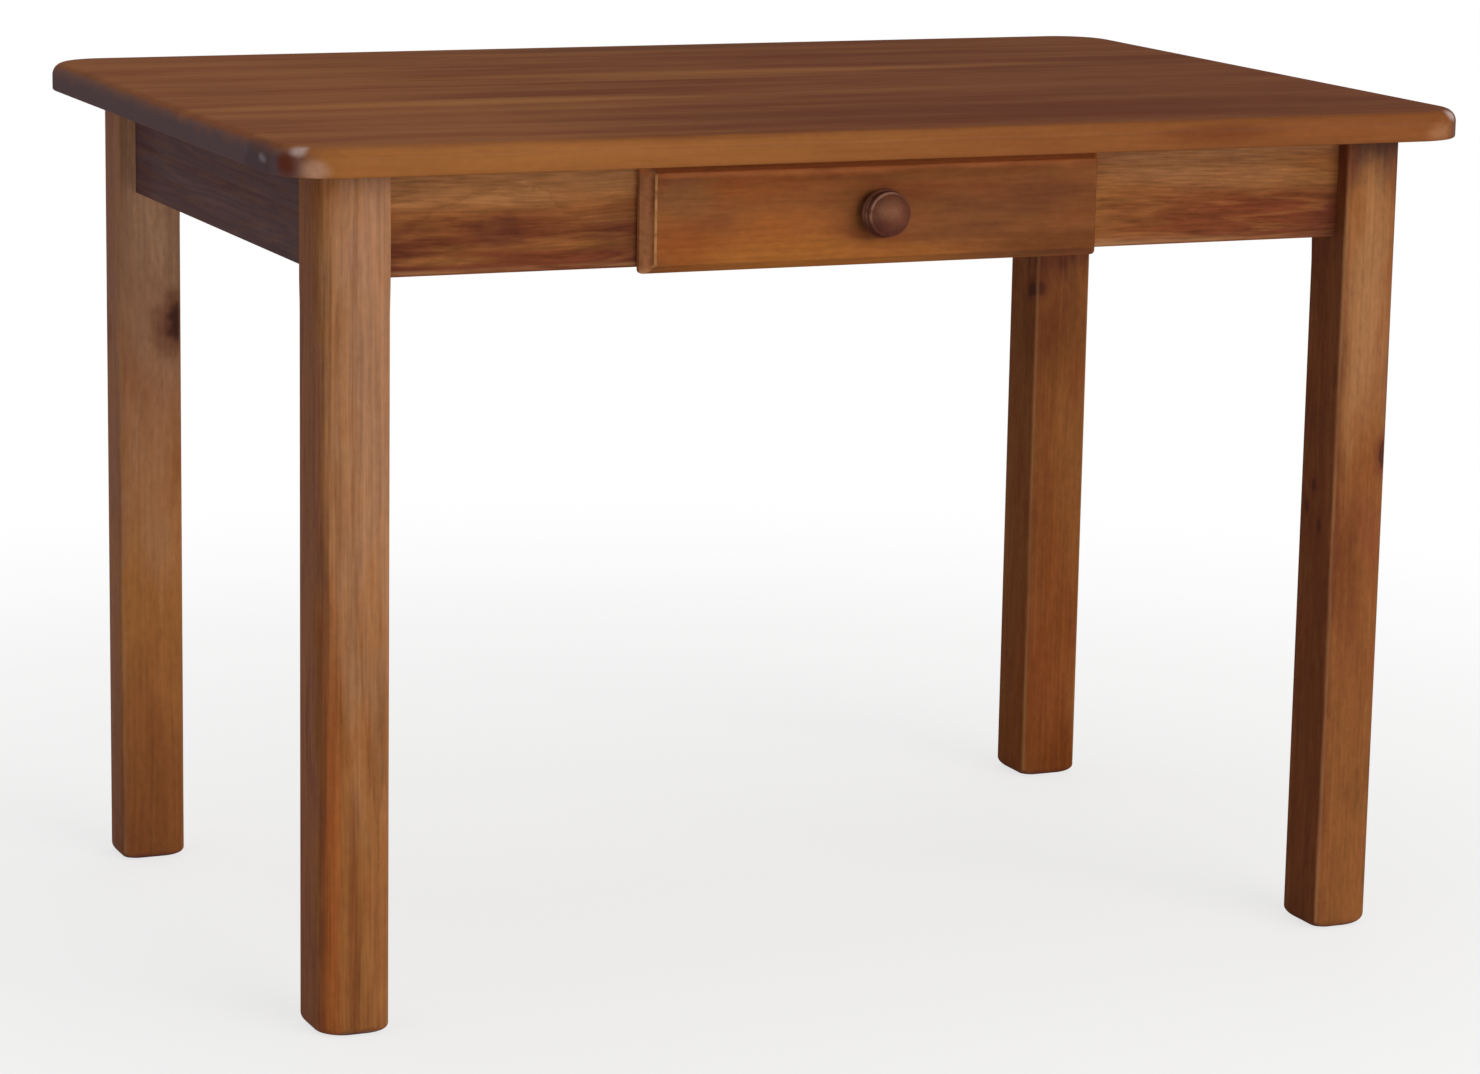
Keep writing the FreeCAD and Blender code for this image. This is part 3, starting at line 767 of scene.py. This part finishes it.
def lower_edge_highlight(height):
    """A painted highlight in a thin line just above an apron's lower edge, at the given height.
    """
    def factor(w, coordinates, facing):
        above = w.math("SUBTRACT", w.parts(coordinates)["Z"], height)
        line = w.times(w.spread(above, 0.0010, 0.0024), w.spread(above, 0.0060, 0.0030))
        return w.times(line, 0.45)
    return factor


def bare_wood(name, grain, low, high, seed, pith=(0.0, -0.06), ring=0.0045):
    """Planed wood with no stain or lacquer."""
    wood = bpy.context.scene.table_wood
    material, w, shader = new_material(name)
    lengthwise = along_grain(w, grain, (low + high) / 2)
    dense, _ = ring_pattern(w, lengthwise, pith, ring, 0.012, 0.55, seed, None)
    shifted = w.vector("ADD", lengthwise, (seed, -seed, seed * 3.1))
    blotches = w.noise(w.stretch(shifted, (2.0, 12.0, 12.0)), 1.4, 3.0)
    fibres = w.noise(w.stretch(shifted, (9.0, 520.0, 520.0)), 1.0, 3.0, 0.6)
    colour = w.mix(w.times(dense, 0.7), (*wood.bare, 1), (*wood.bare_late, 1))
    level = w.plus(w.line(blotches, 0.30, 0.72), w.times(fibres, 0.22))
    w.fill(shader, {"Base Color": w.mix(1.0, colour, grey(w, level), blend="MULTIPLY"),
                    "Roughness": w.line(fibres, 0.15, 0.62), "Specular IOR Level": 0.3})
    w.relief(shader, w.plus(dense, fibres), 0.3, 0.0002)
    return material


def plywood(name):
    """Thin plywood: pale faces with faint grain, and plies that show on the edge."""
    ply_pitch = 0.0027
    wood = bpy.context.scene.table_wood
    material, w, shader = new_material(name)
    coordinates = w.coordinates()
    figure = w.noise(w.stretch(coordinates, (2.0, 14.0, 1.0)), 2.2, 4.0, 0.6)
    line = w.spread(w.math("FRACT", w.times(figure, 9.0)), 0.55, 0.95, 0.0, 0.35)
    fibres = w.noise(w.stretch(coordinates, (14.0, 500.0, 90.0)), 1.0, 2.0)
    ply = w.math("SINE", w.times(w.parts(coordinates)["Z"], 2 * math.pi / ply_pitch))
    edge = w.spread(w.math("ABSOLUTE", w.parts(w.normal())["Z"]), 0.7, 0.5)
    dark = w.times(w.spread(ply, -0.2, 0.4, 0.0, 0.6), edge)
    pale = tuple(min(1.0, c * 1.08) for c in wood.bare)
    colour = w.mix(w.math("ADD", w.times(line, 0.5), dark, clamp=True),
                   (*pale, 1), (*wood.bare_late, 1))
    level = w.line(fibres, 0.2, 0.9)
    w.fill(shader, {"Base Color": w.mix(1.0, colour, grey(w, level), blend="MULTIPLY"),
                    "Roughness": w.line(fibres, 0.2, 0.55), "Specular IOR Level": 0.3})
    return material


def zinc_steel(name):
    """Zinc-plated steel: pale grey with fine cloudy spangle."""
    material, w, shader = new_material(name)
    coordinates = w.coordinates()
    cloud = w.noise(coordinates, 420.0, 3.0, 0.6)
    colour = w.mix(cloud, (0.50, 0.51, 0.53, 1), (0.72, 0.72, 0.70, 1))
    w.fill(shader, {"Base Color": colour, "Metallic": 1.0,
                    "Roughness": w.line(cloud, 0.25, 0.26)})
    w.relief(shader, w.noise(coordinates, 1600.0, 2.0), 0.15, 0.0001)
    return material


# --------------------------------------------------- how each piece's wood lies

GOLD = (0.360, 0.150, 0.042)
HONEY = (0.290, 0.110, 0.030)
OLIVE = (0.345, 0.165, 0.072)
ORANGE = (0.330, 0.090, 0.022)
RED = (0.120, 0.028, 0.012)
WINE = (0.085, 0.022, 0.016)
DARK = (0.060, 0.022, 0.014)
INKY = (0.050, 0.028, 0.034)
# painted cool reflection: a bluish grey laid into the colour
PAINTED_COOL_SHEEN = (0.138, 0.084, 0.092)
FLANK = (0.270, 0.108, 0.066)
DULL = (0.370, 0.200, 0.120)
# painted highlight: a whitish glint colour
PAINTED_GLINT = (0.480, 0.360, 0.330)
# painted light: a lighter colour for a bevel turned away from the lamps
PAINTED_BEVEL_LIGHT = (0.480, 0.200, 0.088)
FAR = 9.0   # a radius so large that a patch has no end that way


def face_patches(y, *rows):
    """Patches on an upright face at y: each row is x, z, their radii, colour and amount."""
    return [((x, y, z), (across, FAR, up), tint, amount)
            for x, z, across, up, tint, amount in rows]


# a look is a set of stained_pine's settings, and a patch is (centre, radii, colour, amount)
TOP_PATCHES = [((0.42, 0.0, 0.75), (0.45, FAR, 0.012), (0.13, 0.034, 0.014), 0.38),
               ((-0.5, 0.05, 0.75), (0.28, FAR, 0.012), (0.335, 0.128, 0.046), 0.3),
               ((-0.5455, -0.1, 0.748), (0.0045, 0.3, 0.0045), (0.25, 0.08, 0.032), 0.6)]
BOARD_LOOKS = [
    dict(seed=1.3, pith=(0.02, -0.05), ring=0.0046, heart=0.72,
         patches=TOP_PATCHES + [
             ((0.14, -0.3, 0.75), (0.58, 0.062, 0.012), RED, 0.58),
             ((0.0, -0.373, 0.738), (FAR, 0.0135, FAR), HONEY, 0.9),
             ((-0.38, -0.374, 0.738), (0.16, 0.01, 0.014), GOLD, 0.3),
             ((0.45, -0.374, 0.738), (0.6, 0.028, FAR), (0.205, 0.068, 0.021), 0.9),
             ((0.28, -0.374, 0.738), (0.07, 0.012, 0.014), RED, 0.5),
             ((0.0, -0.372, 0.726), (FAR, 0.01, 0.003), RED, 0.12),
             ((-0.552, -0.3, 0.735), (0.012, 0.05, FAR), INKY, 0.35),
             # painted reflection: a bluish sheen on the left roundover, then a small bluish
             # glint
             ((-0.551, -0.25, 0.738), (0.01, 0.03, 0.007), (0.17, 0.135, 0.16), 0.5),
             ((-0.551, -0.312, 0.7365), (0.008, 0.01, 0.0045), (0.27, 0.24, 0.26), 0.6),
             ((-0.541, -0.345, 0.7345), (0.011, 0.011, 0.011), RED, 0.95),
             ((-0.5235, -0.362, 0.7325), (0.015, 0.012, 0.0095), (0.43, 0.235, 0.15), 0.8),
             # painted highlight: a glint on the front left corner's roundover
             ((-0.534, -0.351, 0.746), (0.01, 0.009, 0.0055), PAINTED_GLINT, 0.8),
             ((0.512, -0.366, 0.733), (0.022, 0.016, 0.011), (0.33, 0.15, 0.072), 0.65),
             # painted highlight: a glint on the front right corner's roundover
             ((0.529, -0.355, 0.7465), (0.009, 0.009, 0.0065), PAINTED_GLINT, 0.85),
             ((0.541, -0.344, 0.732), (0.01, 0.012, FAR), (0.12, 0.064, 0.058), 0.8)]),
    dict(seed=2.1, pith=(-0.03, -0.11), ring=0.0038, heart=0.88,
         patches=TOP_PATCHES + [((0.05, -0.235, 0.75), (0.36, 0.045, 0.012), RED, 0.62)]),
    dict(seed=3.7, pith=(0.05, -0.09), ring=0.005, heart=0.76,
         patches=TOP_PATCHES + [((-0.32, -0.085, 0.75), (0.26, 0.024, 0.012), GOLD, 0.55)]),
    dict(seed=4.4, pith=(-0.01, -0.14), ring=0.0042, heart=0.84, patches=TOP_PATCHES),
    dict(seed=5.9, pith=(0.03, -0.07), ring=0.0055, heart=0.72,
         patches=TOP_PATCHES + [((0.05, 0.105, 0.75), (0.34, 0.026, 0.012), GOLD, 0.5)]),
    dict(seed=6.2, pith=(-0.04, -0.1), ring=0.004, heart=0.76, patches=TOP_PATCHES),
    dict(seed=7.8, pith=(0.01, -0.12), ring=0.0048, heart=0.78,
         patches=TOP_PATCHES + [((0.05, 0.335, 0.75), (0.3, 0.03, 0.012), DARK, 0.35)]),
]
for board in BOARD_LOOKS:
    board.update(contrast=0.15, mottle=0.22, strands=0.05, streak=0.25, fibre_run=5.0,
                 smear=0.15, shade=1.07, fleck=0.28, bump_strength=0.1)

LEG_LOOKS = {
    "front_left": dict(
        seed=11.0, pith=(0.1, 0.02), ring=0.0026, heart=0.22, contrast=0.3, streak=0.95,
        shade=1.19, mottle=0.8, fleck=0.4,
        patches=[
            ((-0.462, -0.325, 0.62), (0.045, 0.05, 0.4), DULL, 0.7),
            ((-0.497, -0.319, 0.55), (0.008, 0.012, 0.4), (0.43, 0.2, 0.085), 0.6),
            ((-0.495, -0.321, 0.05), (0.01, 0.012, 0.35), ORANGE, 0.75),
            ((-0.476, -0.325, 0.1), (0.006, 0.05, 0.13), RED, 0.5),
            ((-0.455, -0.325, 0.12), (0.016, 0.05, 0.22), (0.4, 0.175, 0.07), 0.2),
            ((-0.512, -0.285, 0.3), (0.014, 0.045, FAR), FLANK, 0.85),
            ((-0.512, -0.285, 0.08), (0.014, 0.045, 0.26), (0.24, 0.082, 0.044), 0.8),
            ((-0.502, -0.318, 0.25), (0.0055, 0.008, 0.38), (0.11, 0.03, 0.018), 0.5)]),
    "front_right": dict(
        seed=12.5, pith=(-0.02, -0.09), ring=0.0045, heart=0.3, contrast=0.15, streak=0.35,
        mottle=0.9, strands=0.1, shade=1.08, fleck=0.55,
        knots=[((0.497, -0.325, 0.44), (0.4, -1, 0.3), 0.0075, 0.7),
               ((0.445, -0.29, 0.408), (1, 0.3, -0.2), 0.005, 0.5),
               ((0.445, -0.279, 0.386), (1, 0.1, 0.2), 0.004, 0.5),
               ((0.445, -0.301, 0.372), (1, -0.2, 0.1), 0.0045, 0.45)],
        patches=[
            ((0.474, -0.33, 0.57), (0.04, 0.03, 0.14), OLIVE, 0.75),
            ((0.476, -0.325, 0.738), (0.09, 0.06, 0.058), (0.062, 0.03, 0.028), 0.8),
            ((0.503, -0.322, 0.5), (0.013, 0.03, 0.1), (0.17, 0.055, 0.022), 0.6),
            ((0.484, -0.325, 0.365), (0.03, 0.03, 0.045), (0.185, 0.054, 0.022), 0.6),
            ((0.462, -0.325, 0.3), (0.022, 0.03, 0.12), RED, 0.65),
            ((0.476, -0.325, 0.1), (0.04, 0.03, 0.26), (0.215, 0.077, 0.024), 0.75),
            ((0.443, -0.296, 0.3), (0.012, 0.06, FAR), (0.15, 0.04, 0.017), 0.85)]),
    "back_left": dict(
        seed=13.2, pith=(0.06, 0.07), ring=0.0038, heart=0.16, contrast=0.15, streak=0.3,
        shade=1.18, mottle=0.7, strands=0.1, fleck=0.5,
        knots=[((-0.445, 0.265, 0.512), (1, -1, 0.1), 0.0125, 0.8)],
        patches=[
            # painted light: the upper front made lighter, against the shade of the aprons and
            # the top
            ((-0.47, 0.263, 0.58), (0.06, 0.06, 0.26), DULL, 0.85),
            ((-0.465, 0.263, 0.38), (0.05, 0.05, 0.11), (0.4, 0.18, 0.076), 0.35),
            # painted light: the top of the front made lighter still, against the tabletop's
            # shade
            ((-0.47, 0.263, 0.68), (0.05, 0.06, 0.12), (0.56, 0.32, 0.19), 0.8),
            ((-0.476, 0.296, 0.0), (0.08, 0.08, 0.24), RED, 0.55),
            ((-0.512, 0.296, 0.4), (0.014, 0.05, FAR), (0.27, 0.118, 0.08), 0.8)]),
    "back_right": dict(
        seed=14.9, pith=(-0.05, 0.05), ring=0.0044, heart=0.48, contrast=0.2, streak=0.35,
        mottle=0.9, strands=0.1, shade=1.08, fleck=0.55,
        knots=[((0.462, 0.265, 0.588), (0.2, -1, 0.2), 0.006, 0.5),
               ((0.45, 0.265, 0.508), (0.5, -1, 0.2), 0.005, 0.6)],
        patches=[
            ((0.486, 0.265, 0.562), (0.058, 0.05, 0.056), WINE, 0.95),
            ((0.49, 0.265, 0.548), (0.03, 0.05, 0.006), (0.3, 0.12, 0.06), 0.6),
            ((0.47, 0.265, 0.47), (0.05, 0.05, 0.07), RED, 0.5),
            ((0.476, 0.267, 0.12), (0.05, 0.05, 0.24), (0.215, 0.056, 0.014), 0.75),
            ((0.476, 0.296, 0.0), (0.08, 0.08, 0.1), (0.17, 0.042, 0.01), 0.65),
            ((0.482, 0.26, 0.34), (0.03, 0.03, 0.12), HONEY, 0.4)]),
}
DRAWER_LOOK = dict(
    seed=21.0, pith=(0.05, -0.2), ring=0.006, heart=0.5, contrast=0.12, streak=0.4,
    end_depth=0.0, mottle=0.8, strands=0.08, fibre_run=30.0, fleck=0.38, wear_and_highlight=arris_highlight,
    patches=face_patches(
        -0.3285,
        (-0.094, 0.64, 0.17, 0.026, (0.37, 0.128, 0.026), 0.8),
        (-0.11, 0.665, 0.06, 0.022, (0.36, 0.112, 0.024), 0.6),
        (-0.195, 0.655, 0.045, 0.024, (0.27, 0.072, 0.018), 0.75),
        (-0.12, 0.7, 0.09, 0.016, (0.27, 0.08, 0.02), 0.5),
        (0.1, 0.68, 0.14, 0.034, (0.16, 0.053, 0.022), 0.8),
        (0.16, 0.64, 0.12, 0.018, (0.13, 0.036, 0.013), 0.7),
        (-0.19, 0.7, 0.04, 0.022, (0.19, 0.082, 0.034), 0.6),
    ) + face_patches(
        -0.322,
        # painted light: the left bevel made lighter, as if lit as brightly as the face
        (-0.222, 0.676, 0.0055, FAR, PAINTED_BEVEL_LIGHT, 0.95),
        # painted light: the top bevel made lighter, against the shade under the tabletop
        (-0.01, 0.7215, FAR, 0.011, (0.6, 0.185, 0.062), 0.85),
    ))
KNOB_LOOK = dict(
    seed=22.0, pith=(0.03, 0.02), ring=0.0035, heart=0.6, contrast=0.2, end_depth=0.0,
    # the light worn colour given here is that of the knob's painted highlight lines
    mottle=0.5, strands=0.0, fleck=0.15, worn_and_highlight=(0.6, 0.33, 0.24),
    patches=[((-0.012, -0.345, 0.6765), (FAR, FAR, FAR), (0.105, 0.037, 0.026), 0.85),
             # painted light: a lit spot on the knob's face, lighter than the dark base around
             # it
             ((-0.017, -0.358, 0.683), (0.012, FAR, 0.011), (0.21, 0.088, 0.048), 0.9),
             # painted light: the knob's shaded left side made lighter
             ((-0.032, -0.342, 0.678), (0.008, FAR, 0.014), (0.19, 0.08, 0.052), 0.8),
             # painted shade: the knob darker towards the bottom
             ((-0.008, -0.345, 0.655), (FAR, FAR, 0.018), WINE, 0.85)],
    wear_and_highlight=knob_highlights)
APRON_LOOKS = {
    "front": dict(
        seed=31.0, pith=(-0.12, 0.02), ring=0.006, warp=0.024, wave=2.0, heart=0.22,
        contrast=0.24, streak=1.35, mottle=0.55, strands=0.26, fibre_run=28.0, shade=1.05,
        fleck=0.32,
        knots=[((-0.346, -0.308, 0.668), (0.1, 1, 0.1), 0.015, 0.3)],
        patches=face_patches(
            -0.308,
            # painted light: a lighter band just under the tabletop, against its shade
            (0.0, 0.721, FAR, 0.015, (0.48, 0.22, 0.1), 0.6),
            (0.0, 0.638, FAR, 0.008, (0.21, 0.11, 0.072), 0.5),
            (-0.34, 0.643, 0.24, 0.05, (0.15, 0.036, 0.016), 0.85),
            (-0.44, 0.652, 0.05, 0.026, WINE, 0.55),
            (-0.235, 0.66, 0.04, 0.024, WINE, 0.6),
            (-0.315, 0.656, 0.08, 0.006, GOLD, 0.5),
            (-0.39, 0.647, 0.05, 0.005, GOLD, 0.5),
            (0.34, 0.655, 0.17, 0.036, (0.15, 0.036, 0.016), 0.85),
            (0.44, 0.655, 0.03, 0.04, WINE, 0.5),
            (0.3, 0.702, 0.14, 0.022, OLIVE, 0.55),
            (-0.33, 0.704, 0.2, 0.022, (0.38, 0.17, 0.066), 0.8),
        )),
    "back": dict(seed=32.0, pith=(0.1, 0.03), ring=0.0045, heart=0.45),
    "left": dict(
        # shade=0.9 darkens this apron as painted shade, and its patch is a painted cool
        # reflection
        seed=33.0, pith=(0.1, -0.03), ring=0.0045, heart=0.75, shade=0.9, mottle=0.3,
        patches=[((-0.49, 0.0, 0.68), (0.02, FAR, FAR), PAINTED_COOL_SHEEN, 0.9)]),
    "right": dict(seed=34.0, pith=(-0.1, -0.02), ring=0.0045, heart=0.55),
}
APRON_GRAIN = {"front": "X", "back": "X", "left": "Y", "right": "Y"}


class TABLE_OT_finish_aprons(bpy.types.Operator):
    """Give the four aprons their stained wood"""

    bl_idname = "table.finish_aprons"
    bl_label = "Finish the aprons"

    def execute(self, context):
        for where, look in APRON_LOOKS.items():
            node = "apron_" + where
            low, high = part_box(node)
            if where == "front":
                look = dict(look, wear_and_highlight=lower_edge_highlight(low.z))
            set_material(node, stained_pine(node + "_pine", APRON_GRAIN[where], low, high,
                                            **look))
        return {"FINISHED"}


def set_material(node, material):
    """Put one material on a node of the frame in place of its own."""
    mesh = frame["nodes"][node].data
    mesh.materials.clear()
    mesh.materials.append(material)


class TABLE_OT_finish_drawer_box(bpy.types.Operator):
    """Give the drawer box, its rails, the corner blocks and dowels their bare wood"""

    bl_idname = "table.finish_drawer_box"
    bl_label = "Finish the drawer box"

    def execute(self, context):
        lengthwise = dict.fromkeys(("drawer_box_front", "drawer_box_back", "drawer_stop"), "X")
        for part in ("drawer_side_", "drawer_runner_", "drawer_kicker_"):
            lengthwise.update({part + "left": "Y", part + "right": "Y"})
        for where in LEG_CORNERS:
            lengthwise["corner_block_" + where] = "Z"
        for i, (node, grain) in enumerate(sorted(lengthwise.items())):
            low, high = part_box(node)
            side = -1 if i % 2 else 1
            set_material(node, bare_wood(node + "_wood", grain, low, high, 41.0 + 1.7 * i,
                                         pith=(side * 0.05, -0.04 - 0.01 * (i % 3))))
        set_material("drawer_bottom", plywood("drawer_bottom_plywood"))
        for node in ("apron_dowels", "drawer_dowels"):
            low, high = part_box(node)
            set_material(node, bare_wood(node + "_wood", "X", low, high, 71.0, ring=0.0018))
        return {"FINISHED"}


class TABLE_OT_finish_hardware(bpy.types.Operator):
    """Give the screws, bolts, nuts, washers and brackets their zinc plating"""

    bl_idname = "table.finish_hardware"
    bl_label = "Finish the hardware"

    def execute(self, context):
        steel = zinc_steel("zinc_plating")
        for part in frame["record"]["subparts"]:
            if part["material_slot"] == "zinc_plated_steel":
                set_material(part["node"], steel)
        return {"FINISHED"}


# -------------------------------------------------------------------- stage

WHITE = (1.0, 1.0, 1.0, 1)
# each light: place, what it points at, its size and its colour
LIGHTS = {
    "key": ((1.6, -4.6, 1.9), (0.0, 0.0, 0.45), (4.2, 2.3), (1.0, 0.97, 0.93)),
    "side": ((-4.5, -0.6, 1.2), (0.0, 0.0, 0.6), (2.0, 2.0), (0.80, 0.88, 1.0)),
    "top": ((0.0, 0.4, 4.0), (0.0, 0.0, 0.7), (3.5, 3.0), (1.0, 0.98, 0.96)),
    "back": ((2.4, 4.2, 0.36), (0.0, 0.0, 0.36), (3.2, 0.6), (1.0, 0.98, 0.96)),
}


def area_light(name, strength, place, target, size, colour):
    """A soft rectangular light at a place, turned towards a target."""
    light = bpy.data.lights.new(name, "AREA")
    light.shape = "RECTANGLE"
    light.size, light.size_y = size
    light.energy = strength
    light.color = colour
    lamp = bpy.data.objects.new(name, light)
    bpy.context.scene.collection.objects.link(lamp)
    lamp.location = place
    aim = Vector(target) - Vector(place)
    lamp.rotation_euler = aim.to_track_quat("-Z", "Y").to_euler()


def glow(w, kind, strength):
    """A plain white background or emission."""
    return w.fill(w.node(kind), {"Color": WHITE, "Strength": strength})


def blend_shaders(w, factor, first, second):
    return w.join("ShaderNodeMixShader", (factor, first, second))[0]


def white_to_camera(w, lit, white_shader):
    """The white shader where a camera, mirror or glass ray looks, and lit elsewhere."""
    path = w.node("ShaderNodeLightPath").outputs
    seen = w.math("MAXIMUM", path["Is Camera Ray"], path["Is Glossy Ray"])
    seen = w.math("MAXIMUM", seen, path["Is Transmission Ray"])
    return blend_shaders(w, seen, lit, white_shader)


class TABLE_OT_make_stage(bpy.types.Operator):
    """Make the camera, the lights, the pale floor and the white surround"""

    bl_idname = "table.make_stage"
    bl_label = "Make the stage"

    def execute(self, context):
        stage = context.scene.table_stage
        self.make_camera(context, stage)
        for name, settings in LIGHTS.items():
            area_light(name + "_light", getattr(stage, name + "_power"), *settings)
        self.make_world(context, stage)
        self.make_floor(context)
        context.scene.view_settings.view_transform = "Standard"
        return {"FINISHED"}

    def make_camera(self, context, stage):
        camera = bpy.data.objects.new("camera", bpy.data.cameras.new("camera"))
        context.scene.collection.objects.link(camera)
        camera.data.sensor_width = 36.0
        camera.data.lens = stage.lens
        camera.data.clip_start = 0.05
        yaw, pitch, roll = stage.camera_turn
        camera.matrix_world = (Matrix.Translation(stage.camera_place)
                               @ Matrix.Rotation(-yaw, 4, "Z")
                               @ Matrix.Rotation(math.pi / 2 - pitch, 4, "X")
                               @ Matrix.Rotation(roll, 4, "Z"))
        context.scene.camera = camera

    def make_world(self, context, stage):
        world = bpy.data.worlds.new("studio")
        world.use_nodes = True
        context.scene.world = world
        w = Wiring(world.node_tree)
        world.node_tree.nodes.clear()
        lit = glow(w, "ShaderNodeBackground", stage.sky)
        white = glow(w, "ShaderNodeBackground", 1.0)
        w.join("ShaderNodeOutputWorld", (white_to_camera(w, lit, white),))

    def make_floor(self, context):
        half = 6.0
        near, far, least_veil = 0.6, 2.0, 0.72
        mesh = bpy.data.meshes.new("floor")
        mesh.from_pydata([(-half, -half, 0), (half, -half, 0), (half, half, 0),
                          (-half, half, 0)], [], [(0, 1, 2, 3)])
        floor = bpy.data.objects.new("floor", mesh)
        context.scene.collection.objects.link(floor)
        material, w, shader = new_material("pale_floor")
        w.fill(shader, {"Base Color": (0.88, 0.88, 0.88, 1), "Roughness": 0.9,
                        "Specular IOR Level": 0.0})
        away = w.spread(w.length(w.coordinates()), near, far, least_veil, 1.0)
        veil = blend_shaders(w, away, shader.outputs[0], glow(w, "ShaderNodeEmission", 1.0))
        output = w.tree.nodes["Material Output"]
        w.feed(output.inputs["Surface"], white_to_camera(w, shader.outputs[0], veil))
        mesh.materials.append(material)


# ------------------------------------------------------------ panel and main

OPERATORS = (
    TABLE_OT_build_top,
    TABLE_OT_build_legs,
    TABLE_OT_finish_aprons,
    TABLE_OT_build_drawer_front,
    TABLE_OT_finish_drawer_box,
    TABLE_OT_finish_hardware,
    TABLE_OT_make_stage,
)


class TABLE_PT_panel(bpy.types.Panel):
    """Lists the steps and their sizes"""

    bl_idname = "TABLE_PT_panel"
    bl_label = "Pine table"
    bl_space_type = "VIEW_3D"
    bl_region_type = "UI"
    bl_category = "Table"

    def draw(self, context):
        column = self.layout.column()
        for operator in OPERATORS:
            column.operator(operator.bl_idname)
        for group in ("table_shape", "table_wood", "table_stage"):
            settings = getattr(context.scene, group)
            for key in settings.bl_rna.properties.keys():
                if key not in ("rna_type", "name"):
                    column.prop(settings, key)


GROUPS = {
    "table_shape": TableShape,
    "table_wood": WoodFinish,
    "table_stage": StageSettings,
}


def register():
    for group in GROUPS.values():
        bpy.utils.register_class(group)
    for operator in OPERATORS:
        bpy.utils.register_class(operator)
    bpy.utils.register_class(TABLE_PT_panel)
    for name, group in GROUPS.items():
        setattr(bpy.types.Scene, name, PointerProperty(type=group))


def unregister():
    for name in GROUPS:
        delattr(bpy.types.Scene, name)
    bpy.utils.unregister_class(TABLE_PT_panel)
    for operator in reversed(OPERATORS):
        bpy.utils.unregister_class(operator)
    for group in GROUPS.values():
        bpy.utils.unregister_class(group)


def main():
    register()
    for operator in OPERATORS:
        group, step = operator.bl_idname.split(".")
        getattr(getattr(bpy.ops, group), step)()


if __name__ == "__main__":
    main()
